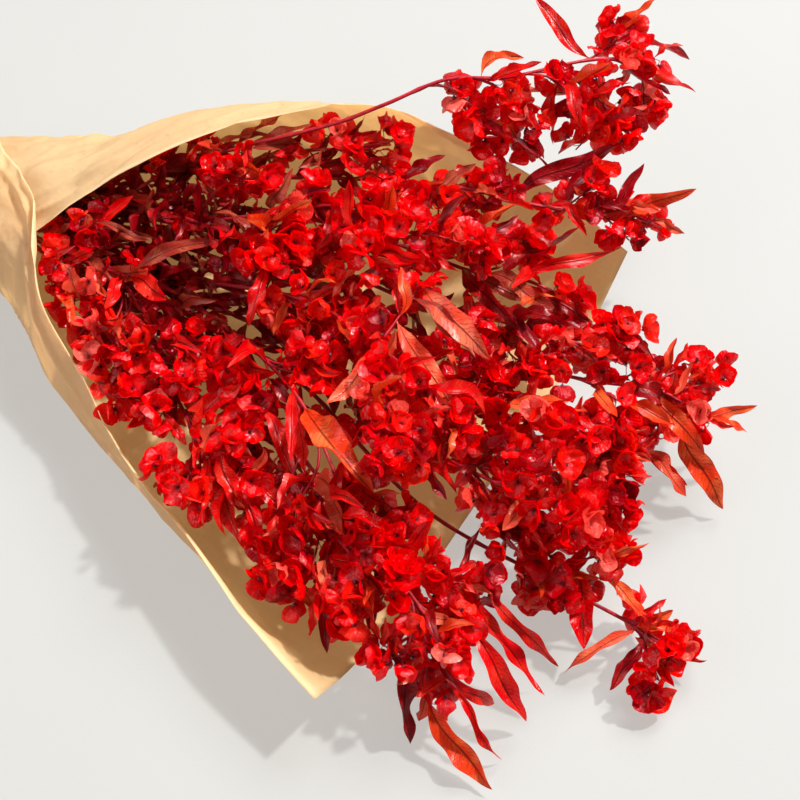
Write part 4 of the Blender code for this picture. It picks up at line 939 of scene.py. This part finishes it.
def add_leaf(shapes, room, lines, leaf, draw):
    """Grows one leaf from the nearest stem or branchlet, at the first turn that clears the sheet."""
    root, tip, width = Vector(leaf[0]) * MM, Vector(leaf[1]) * MM, leaf[2] * MM
    start = min((nearest_on_line(line, root) for line in lines), key=lambda found: found[2])[0]
    along = tip - start
    faces = grid_faces(LEAF_ROWS, LEAF_COLUMNS)
    for attempt in range(LEAF_TRIES):
        normal = facing(LEAF_LEANS, draw)
        length = along.length * (1 - LEAF_TRY_SHRINK * attempt)
        points, places = leaf_grid(length, width, draw, LEAF_ROWS, LEAF_COLUMNS, LEAF_WILDNESS)
        points = turned(points, aim(along, normal), start)
        if room.holds_leaf(points, faces):
            places[:, 2] = draw.random()
            shapes.add(points, faces, places, TONES.index(leaf[3]))
            room.fill_leaf(points[LEAF_COLUMNS // 2 :: LEAF_COLUMNS][LEAF_SHOWN], (0, OVER_LEAF))
            return


def add_small_leaf(shapes, room, line, length, draw, tones):
    """Grows a small leaf, not listed in SPRAYS, from a length along a stem or branchlet."""
    root, heading = point_at_length(line, length)
    faces = grid_faces(SMALL_ROWS, SMALL_COLUMNS)
    most = SMALL_MOST if root.x < SMALL_MOUTH_X else SMALL_MOST_AT_MOUTH
    for _ in range(SMALL_TRIES):
        out = Vector([draw.uniform(-1, 1) for _ in range(3)])
        along = (heading * SMALL_AHEAD + out + Vector((0, 0, SMALL_UP))).normalized()
        normal = facing(SMALL_LEANS, draw)
        size = draw.uniform(SMALL_LEAST, most)
        width = size * draw.uniform(*SMALL_SLENDERNESS)
        points, places = leaf_grid(size, width, draw, SMALL_ROWS, SMALL_COLUMNS, SMALL_WILDNESS)
        points = turned(points, aim(along, normal), root)
        if room.holds_leaf(points, faces):
            places[:, 2] = draw.random()
            shapes.add(points, faces, places, TONES.index(draw.choice(tones)))
            room.fill_leaf(points[SMALL_COLUMNS // 2 :: 2 * SMALL_COLUMNS][SMALL_SHOWN], (0,))
            return


def wing_grid(draw, attitude, rise, closeness):
    """One papery wing: a rounded, cupped lobe whose root is on the Z axis, spread towards +X."""
    reach = np.linspace(0, 1, WING_RINGS)[:, None] ** 0.85
    spoke = np.linspace(-1, 1, WING_SPOKES)[None, :]
    angle = math.radians(WING_SPREAD) * spoke
    size = WING_REACH * draw.uniform(*WING_SIZES)
    lobe = WING_LEAST + (1 - WING_LEAST) * np.cos(angle) ** draw.uniform(*WING_ROUNDNESS)
    radius = size * lobe * (1 + WING_EDGE_WAVE * np.sin(angle * 5 + draw.uniform(0, 6)))
    root_x, root_z = 0.0007, 0.0010 + (0.0010 + 0.0032 * closeness) * spoke
    x = root_x + (np.cos(angle) * radius - root_x) * reach
    z = root_z + (np.sin(angle) * radius - root_z) * reach
    middle = ((x - 0.5 * size) ** 2 + z**2) / size**2
    cup = size * draw.uniform(*WING_CUP)
    curl = size * draw.uniform(*WING_CURL) * np.clip(reach - 0.55, 0, 1) ** 1.6
    ripple = size * draw.uniform(*WING_RIPPLE) * np.sin(angle * draw.uniform(3, 7) + draw.uniform(0, 6))
    crinkle = np.array([[draw.uniform(-1, 1) for _ in range(WING_SPOKES)] for _ in range(WING_RINGS)])
    y = cup * (middle - 0.25) * reach + curl + ripple * reach**2 + WING_CRINKLE * crinkle * reach
    grid = np.stack([x, -y, np.broadcast_to(z, x.shape)], -1).reshape(-1, 3)
    turn = Matrix.Rotation(-math.radians(rise), 3, "Y") @ Matrix.Rotation(-math.radians(attitude), 3, "X")
    places = np.stack([np.broadcast_to(reach, x.shape), np.broadcast_to(spoke, x.shape), x * 0], -1)
    return turned(grid, turn, (0, 0, 0)), places.reshape(-1, 3)


def seed_body(draw):
    """The small swollen seed body, with three lobes."""
    rows, sides = 4, 6
    share = np.linspace(0, 1, rows)[:, None]
    angle = np.arange(sides)[None, :] * math.tau / sides
    radius = SEED_RADIUS * np.sin(math.pi * np.clip(share, 0.05, 0.95)) ** 0.6
    radius = radius * (1 + SEED_LOBES * np.cos(3 * angle))
    height = SEED_LENGTH * share - 0.0002 + 0 * angle
    points = np.stack([radius * np.cos(angle), radius * np.sin(angle), height], -1).reshape(-1, 3)
    return points, grid_faces(rows, sides, closed=True), np.full((len(points), 3), draw.random())


def capsule_kinds(draw):
    """Several capsules, each as the points, faces and places of its wings and of its seed body."""
    kinds = []
    for kind in range(CAPSULE_KINDS):
        (low, high), (least, most) = OPENNESS[kind % len(OPENNESS)]
        wings = draw.choice((3, 3, 3, 4))
        points, places, faces = [], [], []
        for number in range(wings):
            attitude = draw.uniform(low, high)
            grid, marks = wing_grid(draw, attitude, draw.uniform(least, most), 1 - attitude / 110)
            angle = math.tau * (number + draw.uniform(-0.12, 0.12)) / wings
            points.append(turned(grid, Matrix.Rotation(angle, 3, "Z"), (0, 0, 0.0008 * number)))
            faces.append(grid_faces(WING_RINGS, WING_SPOKES) + len(grid) * number)
            marks[:, 1] += 3 * number
            places.append(marks)
        papery = (np.concatenate(points), np.concatenate(faces), np.concatenate(places))
        kinds.append((papery, seed_body(draw)))
    return kinds


class Room:
    """What keeps capsules and leaves in the bunch: the sheet, the table, the part's box, and each other."""

    def __init__(self, sheet):
        self.sheet = sheet
        self.low = np.array(cad_box[0]) - PAST_LOW
        self.high = np.array(cad_box[1]) + PAST_HIGH
        self.capsules = {}
        self.leaves = {}
        self.edge = np.array([(x, points[-1][0]) for x, points in PAPER_SECTIONS]) * MM

    def cell(self, place):
        return tuple(int(v // CELL) for v in place)

    def holds_capsule(self, root, centre, gap):
        """Whether a capsule fits at a place: in the box, clear of the sheet and of the others."""
        if np.any(np.array(centre) - CAPSULE_BELOW < self.low):
            return False
        if np.any(np.array(centre) + CAPSULE_ABOVE > self.high):
            return False
        clearance = CAPSULE_TO_SHEET_AT_NECK if centre.x < NECK_END_X else CAPSULE_TO_SHEET
        if self.sheet.find_nearest(centre)[3] < clearance or self.past_edge(np.array(centre)[None]):
            return False
        way = centre - root
        if self.sheet.ray_cast(root, way, way.length)[0] is not None:
            return False
        return not (self.crowded(self.capsules, centre, gap) or self.crowded(self.leaves, centre, LEAF_GAP))

    def crowded(self, filled, centre, gap):
        """Whether anything filled lies nearer to a place than a gap."""
        cell = self.cell(centre)
        for step in itertools.product((-1, 0, 1), repeat=3):
            beside = tuple(a + b for a, b in zip(cell, step))
            if any((other - centre).length < gap for other in filled.get(beside, ())):
                return True
        return False

    def holds_leaf(self, points, faces):
        """Whether a leaf fits: in the box, over the table, in the wrap and clear of the sheet."""
        if np.any(points < self.low) or np.any(points > self.high) or points[:, 2].min() < LEAF_TO_TABLE:
            return False
        if self.past_edge(points):
            return False
        if BVHTree.FromPolygons(points.tolist(), faces.tolist()).overlap(self.sheet):
            return False
        outer = points[len(points) // 3 :: 3]
        return all(self.sheet.find_nearest(point)[3] > LEAF_TO_SHEET for point in outer)

    def past_edge(self, points):
        """Whether any point is beyond the wrap's near edge, and so outside the wrap."""
        edge = np.interp(points[:, 0], self.edge[:, 0], self.edge[:, 1], right=-1.0)
        return np.any(points[:, 1] < edge + NEAR_EDGE_GAP)

    def fill_capsule(self, centre):
        self.capsules.setdefault(self.cell(centre), []).append(centre)

    def fill_leaf(self, middle, heights):
        """Keeps capsules off a leaf's middle line, and off the heights over it, so that it shows."""
        for point in middle:
            for over in heights:
                place = Vector(point) + Vector((0, 0, over))
                self.leaves.setdefault(self.cell(place), []).append(place)


def find_seat(room, line, length, spin, number, draw):
    """A root, heading, way out, stalk length, base and axis for a capsule, at the first try that fits."""
    for attempt in range(CAPSULE_TRIES):
        root, heading = point_at_length(line, length + draw.uniform(*CLUSTER_SPREAD))
        angle = spin + number * GOLDEN_TURN + attempt * draw.uniform(*SEAT_TURN)
        way = Vector((draw.uniform(*SEAT_AHEAD), math.cos(angle), math.sin(angle)))
        out = (aim(heading, Vector((0, 0, 1))) @ way + Vector((0, 0, SEAT_UP))).normalized()
        stalk = draw.uniform(*STALK_LENGTHS)
        base = root + out * stalk
        scatter = [draw.uniform(-AXIS_SCATTER, AXIS_SCATTER) for _ in range(3)]
        axis = (out + Vector(scatter)).normalized()
        centre = base + axis * CAPSULE_SEAT
        if room.holds_capsule(root, centre, CAPSULE_GAP - CAPSULE_GAP_EASE * attempt):
            room.fill_capsule(centre)
            return root, heading, out, stalk, base, axis
    return None


class Spray:
    """One flowering stem while it is built: its lines, and the shapes of its wood, leaves and capsules."""

    def __init__(self, name, stem):
        self.name = name
        self.draw = random.Random(name)
        self.stem = stem
        more = [[head] for head in MORE_CLUSTERS.get(name, ())]
        self.heads = [[Vector(p) * MM for p in points] for points in SPRAYS[name]["branches"] + more]
        self.branches = [branch_line(stem, points) for points in self.heads]
        self.wood, self.leaves, self.capsules = Shapes(), Shapes(), Shapes()

    def grow_wood(self):
        radii = wood_radii(self.stem, *STEM_RADII, self.draw)
        add_tube(self.wood, self.stem, radii, STEM_SIDES, BARK, STEM_SHADE, CUT_END)
        for line in self.branches:
            radii = wood_radii(line, *BRANCH_RADII, self.draw)
            add_tube(self.wood, line, radii, BRANCH_SIDES, BARK, self.draw.random())

    def grow_leaves(self, room):
        for leaf in SPRAYS[self.name]["leaves"] + MORE_LEAVES.get(self.name, []):
            add_leaf(self.leaves, room, [self.stem] + self.branches, leaf, self.draw)

    def find_sites(self):
        """Where capsules cluster, at the tips of the stem and its branchlets, and the stem's inner sites."""
        lines = [(self.stem, [self.stem[-1]])] + list(zip(self.branches, self.heads))
        self.sites = [(line, nearest_on_line(line, head)[1]) for line, heads in lines for head in heads]
        last = INNER_TO_LOW.get(self.name, INNER_TO)
        steps = along_line(self.stem, INNER_STEP)
        inner = [length for length, point in steps if INNER_FROM < point.x < last]
        self.inner = inner[: INNER_MOST.get(self.name)]

    def grow_small_leaves(self, room):
        for line, length in self.sites:
            for _ in range(SMALL_LEAVES):
                start = length + self.draw.uniform(SMALL_LEAVES_FROM, 0.0)
                add_small_leaf(self.leaves, room, line, start, self.draw, SMALL_TONES)
        for length in self.inner:
            for _ in range(INNER_LEAVES):
                add_small_leaf(self.leaves, room, self.stem, length, self.draw, INNER_PAINTED_SHADE_TONES)

    def grow_cluster(self, room, kinds, line, length, count, brightest=1.0):
        """Sets stalked capsules round a length along the stem or a branchlet, darker as painted shade if
        brightest is below one.
        """
        draw = self.draw
        spin = draw.uniform(0, math.tau)
        for number in range(count):
            seat = find_seat(room, line, length, spin, number, draw)
            if seat is None:
                continue
            root, heading, out, stalk, base, axis = seat
            size = draw.uniform(*CAPSULE_SIZES)
            turn = aim(axis, Vector((0.1, 0.2, 1))) @ Matrix.Rotation(draw.uniform(0, math.tau), 3, "X")
            turn = turn @ Matrix.Rotation(math.pi / 2, 3, "Y")
            (points, faces, places), (body, body_faces, body_places) = draw.choice(kinds)
            marks = places.copy()
            marks[:, 2] = draw.uniform(0, brightest)
            self.capsules.add(turned(points * size, turn, base), faces, marks, 0)
            self.capsules.add(turned(body * size, turn, base), body_faces, body_places, 1)
            bend = root + heading * (STALK_BEND * stalk) + out * (STALK_BEND * stalk)
            stem = smooth_line([root, bend, base, base + axis * STALK_OVERRUN])
            add_tube(self.wood, stem, [STALK_RADIUS] * len(stem), STALK_SIDES, STALK, draw.random())

    def grow_capsules(self, room, kinds):
        for line, length in self.sites:
            self.grow_cluster(room, kinds, line, length, CLUSTERS.get(self.name, CLUSTER))

    def grow_inner_capsules(self, room, kinds):
        # Inner capsules get only dark hues, as painted shade.
        for length in self.inner[::INNER_CAPSULE_STEP]:
            self.grow_cluster(room, kinds, self.stem, length, 1, INNER_PAINTED_SHADE_BRIGHTEST)

    def make(self, looks):
        number = self.name[-2:]
        self.wood.make("stems_" + number, looks["wood"], "flower", self.name)
        self.leaves.make("leaves_" + number, looks["leaf"], "flower", self.name)
        self.capsules.make("capsules_" + number, looks["capsule"], "flower", self.name)


# Materials


class Look:
    """A material's nodes, written as calls."""

    def __init__(self, name):
        self.material = bpy.data.materials.new(name)
        self.material.use_nodes = True
        self.nodes = self.material.node_tree.nodes
        self.links = self.material.node_tree.links
        self.nodes.clear()

    def add(self, kind, inputs, **settings):
        node = self.nodes.new("ShaderNode" + kind)
        for name, value in settings.items():
            setattr(node, name, value)
        for name, value in inputs.items():
            self.give(node.inputs[name], value)
        return node

    def give(self, socket, value):
        """Links a value that is a socket, and sets any other."""
        if isinstance(value, bpy.types.NodeSocket):
            self.links.new(value, socket)
        else:
            socket.default_value = value

    def math(self, operation, *values):
        return self.add("Math", dict(enumerate(values)), operation=operation).outputs[0]

    def times(self, value, factor):
        return self.math("MULTIPLY", value, factor)

    def plus(self, value, other):
        return self.math("ADD", value, other)

    def place(self):
        """The along, across and shade numbers of the place on the shape."""
        mark = self.add("Attribute", {}, attribute_name="place")
        return self.add("SeparateXYZ", {"Vector": mark.outputs["Vector"]}).outputs

    def where(self):
        return self.add("TexCoord", {}).outputs["Object"]

    def noise(self, scale, detail=3.0, vector=None, distortion=0.0):
        inputs = {"Scale": scale, "Detail": detail, "Distortion": distortion}
        return self.add("TexNoise", {**inputs, "Vector": vector or self.where()}).outputs["Fac"]

    def span(self, value, low, high, to_low=0.0, to_high=1.0):
        """A value brought smoothly from one span to another."""
        inputs = {"Value": value, "From Min": low, "From Max": high, "To Min": to_low, "To Max": to_high}
        return self.add("MapRange", inputs, interpolation_type="SMOOTHSTEP").outputs["Result"]

    def mix(self, share, first, second):
        """A mix of two colours, each a colour's three numbers or a socket."""
        node = self.add("Mix", {}, data_type="RGBA")
        values = {"Factor": share, "A": first, "B": second}
        for socket in node.inputs:
            if socket.enabled and socket.name in values:
                value = values[socket.name]
                self.give(socket, (*value, 1) if isinstance(value, tuple) else value)
        return next(socket for socket in node.outputs if socket.enabled)

    def ramp(self, value, stops):
        node = self.add("ValToRGB", {"Fac": value})
        ramp = node.color_ramp
        while len(ramp.elements) < len(stops):
            ramp.elements.new(0.5)
        for element, (place, colour) in zip(ramp.elements, stops):
            element.position = place
            element.color = (*colour, 1)
        return node.outputs["Color"]

    def bump(self, height, strength, distance):
        inputs = {"Height": height, "Strength": strength, "Distance": distance}
        return self.add("Bump", inputs).outputs["Normal"]

    def finish(self, colour, roughness, normal, glow=None, glow_share=0.0, **more):
        """The surface: a Principled shader, and light let through from behind where there is a glow."""
        inputs = {"Base Color": colour, "Roughness": roughness, "Normal": normal, **more}
        surface = self.add("BsdfPrincipled", inputs).outputs[0]
        if glow is not None:
            through = self.add("BsdfTranslucent", {"Color": glow, "Normal": normal}).outputs[0]
            surface = self.add("MixShader", {0: glow_share, 1: surface, 2: through}).outputs[0]
        self.links.new(surface, self.add("OutputMaterial", {}).inputs["Surface"])
        return self.material


def darker(colour, share):
    return tuple(share * v for v in colour)


def wing_look():
    """Glossy dyed paper, with fine rays from the root, pale blotches and dark ones."""
    look = Look("papery_wing")
    along, across, shade = look.place()
    hue = look.ramp(shade, WING_HUES)
    wobble = look.noise(420.0, 4.0)
    ray = look.math("SINE", look.times(across, WING_RAYS))
    ray = look.plus(ray, look.span(wobble, 0.2, 0.8, -1.6, 1.6))
    colour = look.mix(look.span(ray, 1.0, 1.9, 0.0, 0.45), hue, WING_RAY_RED)
    colour = look.mix(look.span(along, 0.30, 0.0, 0.0, 0.75), colour, WING_ROOT_RED)
    blotch = look.noise(160.0, 3.0)
    colour = look.mix(look.span(blotch, 0.60, 0.78, 0.0, 0.5), colour, WING_PALE_BLOTCH)
    colour = look.mix(look.span(blotch, 0.46, 0.26, 0.0, 0.55), colour, WING_DARK_BLOTCH)
    normal = look.bump(look.plus(look.times(wobble, 0.9), look.times(ray, 0.10)), 0.6, 0.0012)
    gloss = {"Specular IOR Level": 0.75, "Specular Tint": (1.0, 0.70, 0.72, 1)}
    return look.finish(colour, 0.09, normal, colour, 0.42, **gloss)


def seed_look():
    look = Look("seed_body")
    colour = look.mix(look.span(look.noise(600.0), 0.35, 0.65), *SEED_COLOURS)
    return look.finish(colour, 0.45, look.bump(look.noise(900.0), 0.4, 0.0005))


def leaf_look(tone):
    """A leaf with its midrib and side veins, mottled between them and darker at its edge."""
    look = Look("leaf_" + tone)
    base, pale = LEAF_COLOURS[tone]
    along, across, shade = look.place()
    off = look.math("ABSOLUTE", across)
    beat = look.math("SUBTRACT", look.times(along, LEAF_VEINS), look.times(off, LEAF_VEIN_LEAN))
    wander = look.span(look.noise(170.0, 4.0), 0.25, 0.75, -2.6, 2.6)
    side_vein = look.span(look.math("SINE", look.plus(beat, wander)), 0.72, 1.0)
    midrib = look.span(off, 0.13, 0.03)
    mottle = look.noise(70.0, 4.0)
    colour = look.mix(look.span(mottle, 0.35, 0.7), darker(base, 0.72), pale)
    colour = look.mix(look.span(mottle, 0.62, 0.44, 0.0, 0.75), colour, base)
    colour = look.mix(look.times(side_vein, 0.6), colour, darker(base, 0.42))
    colour = look.mix(look.times(midrib, 0.85), colour, darker(base, 0.25))
    colour = look.mix(look.span(off, 0.86, 1.0, 0.0, 0.35), colour, darker(base, 0.5))
    colour = look.mix(look.span(shade, 0.0, 1.0, 0.28, 0.0), colour, darker(base, 0.5))
    relief = look.plus(look.times(side_vein, -0.5), look.times(midrib, -1.0))
    relief = look.plus(relief, look.times(look.noise(900.0), 0.5))
    gloss = {"Specular IOR Level": 0.4, "Specular Tint": (1.0, 0.70, 0.70, 1)}
    return look.finish(colour, 0.22, look.bump(relief, 0.5, 0.0008), colour, 0.32, **gloss)


def wood_look(name, base, pale, scale):
    """Streaked bark or a cut end, some twigs darker than others."""
    look = Look(name)
    streak = look.noise(scale, 4.0)
    colour = look.mix(look.span(streak, 0.3, 0.7), base, pale)
    colour = look.mix(look.span(look.place()[2], 0.0, 1.0, 0.0, 0.35), colour, darker(base, 0.5))
    normal = look.bump(look.plus(streak, look.noise(scale * 4)), 0.5, 0.0007)
    return look.finish(colour, 0.42, normal, **{"Specular IOR Level": 0.3})


def paper_look():
    """Kraft paper: clouded, with long fibres and pulp specks, fine dents, and pale rims along its free edges,
    partly the cut edge's colour and partly a painted highlight.
    """
    look = Look("kraft_paper")
    cloud = look.noise(9.0, 5.0)
    pulp = look.noise(260.0, 6.0)
    stretched = look.add("Mapping", {"Vector": look.where(), "Scale": FIBRE_SCALE}).outputs["Vector"]
    fibre = look.noise(1.0, 5.0, stretched, 0.6)
    colour = look.mix(look.span(cloud, 0.30, 0.70), *KRAFT_COLOURS)
    colour = look.mix(look.span(fibre, 0.52, 0.78, 0.0, 0.40), colour, KRAFT_FIBRE)
    colour = look.mix(look.span(pulp, 0.58, 0.74, 0.0, 0.45), colour, KRAFT_PALE_PULP)
    colour = look.mix(look.span(pulp, 0.40, 0.28, 0.0, 0.45), colour, KRAFT_DARK_PULP)
    cells = {"Vector": look.where(), "Scale": 14.0}
    crease = look.add("TexVoronoi", cells, feature="DISTANCE_TO_EDGE").outputs["Distance"]
    height = look.plus(look.times(look.span(crease, 0.0, 0.07), 0.12), look.times(look.noise(38.0), 0.8))
    height = look.plus(height, look.times(pulp, 0.10))
    height = look.plus(height, look.times(fibre, 0.05))
    across = look.place()[1]
    # The pale strip along both free edges is partly the cut edge's colour and partly a painted highlight on
    # the curled edge.
    rim_and_highlight = look.plus(look.span(across, 0.978, 0.992), look.span(across, 0.016, 0.006))
    colour = look.mix(look.times(rim_and_highlight, 0.6), colour, KRAFT_RIM_AND_HIGHLIGHT)
    normal = look.bump(height, 0.6, 0.0034)
    return look.finish(colour, 0.62, normal, KRAFT_GLOW, 0.57, **{"Specular IOR Level": 0.35})


def twine_look():
    look = Look("jute_twine")
    fuzz = look.noise(1500.0, 4.0)
    colour = look.mix(look.span(fuzz, 0.3, 0.7), *TWINE_COLOURS)
    return look.finish(colour, 0.85, look.bump(fuzz, 0.7, 0.0006), **{"Specular IOR Level": 0.2})


def table_look():
    """A pale table, partly alight so that its shadows stay soft."""
    look = Look("pale_table")
    colour = look.mix(look.span(look.noise(3.0), 0.3, 0.7), *TABLE_COLOURS)
    more = {"Specular IOR Level": 0.2, "Emission Color": TABLE_LIGHT, "Emission Strength": 0.465}
    return look.finish(colour, 0.6, look.bump(look.noise(700.0, 4.0), 0.12, 0.0006), **more)


# Camera, light and table


def add_camera():
    lens = bpy.data.cameras.new("camera")
    lens.lens = CAMERA_LENS
    lens.sensor_width = CAMERA_SENSOR
    lens.clip_start = CAMERA_NEAR
    camera = bpy.data.objects.new("camera", lens)
    azimuth, elevation = math.radians(CAMERA_AZIMUTH), math.radians(CAMERA_ELEVATION)
    level = math.cos(elevation)
    back = Vector((math.sin(azimuth) * level, -math.cos(azimuth) * level, math.sin(elevation)))
    camera.location = Vector(CAMERA_TARGET) + back * CAMERA_DISTANCE
    camera.rotation_euler = back.to_track_quat("Z", "Y").to_euler()
    bpy.context.scene.collection.objects.link(camera)
    bpy.context.scene.camera = camera


def add_light(name, kind, energy, colour, place, towards, width):
    """A light that shines from the side that a direction points to."""
    light = bpy.data.lights.new(name, kind)
    light.energy = energy
    light.color = colour
    for setting, value in width.items():
        setattr(light, setting, value)
    lamp = bpy.data.objects.new(name, light)
    lamp.location = place
    lamp.rotation_euler = Vector(towards).to_track_quat("Z", "Y").to_euler()
    bpy.context.scene.collection.objects.link(lamp)


def add_lights():
    """A warm sun and a window from the far right, a wide fill from the near left, and a dim sky."""
    for light in LIGHTS:
        add_light(*light)
    world = bpy.data.worlds.new("studio")
    world.use_nodes = True
    sky = world.node_tree.nodes["Background"]
    sky.inputs["Color"].default_value = SKY_COLOUR
    sky.inputs["Strength"].default_value = SKY_STRENGTH
    bpy.context.scene.world = world


def add_table():
    mesh = bpy.data.meshes.new("table")
    corners = [(TABLE_REACH * x, TABLE_REACH * y, 0) for x, y in ((-1, -1), (1, -1), (1, 1), (-1, 1))]
    mesh.from_pydata(corners, [], [(0, 1, 2, 3)])
    mesh.materials.append(table_look())
    table = bpy.data.objects.new("table", mesh)
    table.location.z = TABLE_Z
    bpy.context.scene.collection.objects.link(table)


def main():
    bpy.context.scene.view_settings.view_transform = "Standard"
    add_camera()
    add_lights()
    add_table()
    sheet = make_paper(paper_look())
    make_twine(twine_look())
    looks = {
        "wood": [wood_look(*wood) for wood in WOODS],
        "leaf": [leaf_look(tone) for tone in TONES],
        "capsule": [wing_look(), seed_look()],
    }
    room = Room(sheet)
    kinds = capsule_kinds(random.Random("capsules"))
    sprays = [Spray(name, stem) for name, stem in stem_lines().items()]
    for spray in sprays:
        spray.grow_wood()
        spray.grow_leaves(room)
    for spray in sprays:
        spray.find_sites()
        spray.grow_small_leaves(room)
    for spray in sprays:
        spray.grow_capsules(room, kinds)
    for spray in sprays:
        spray.grow_inner_capsules(room, kinds)
        spray.make(looks)


main()
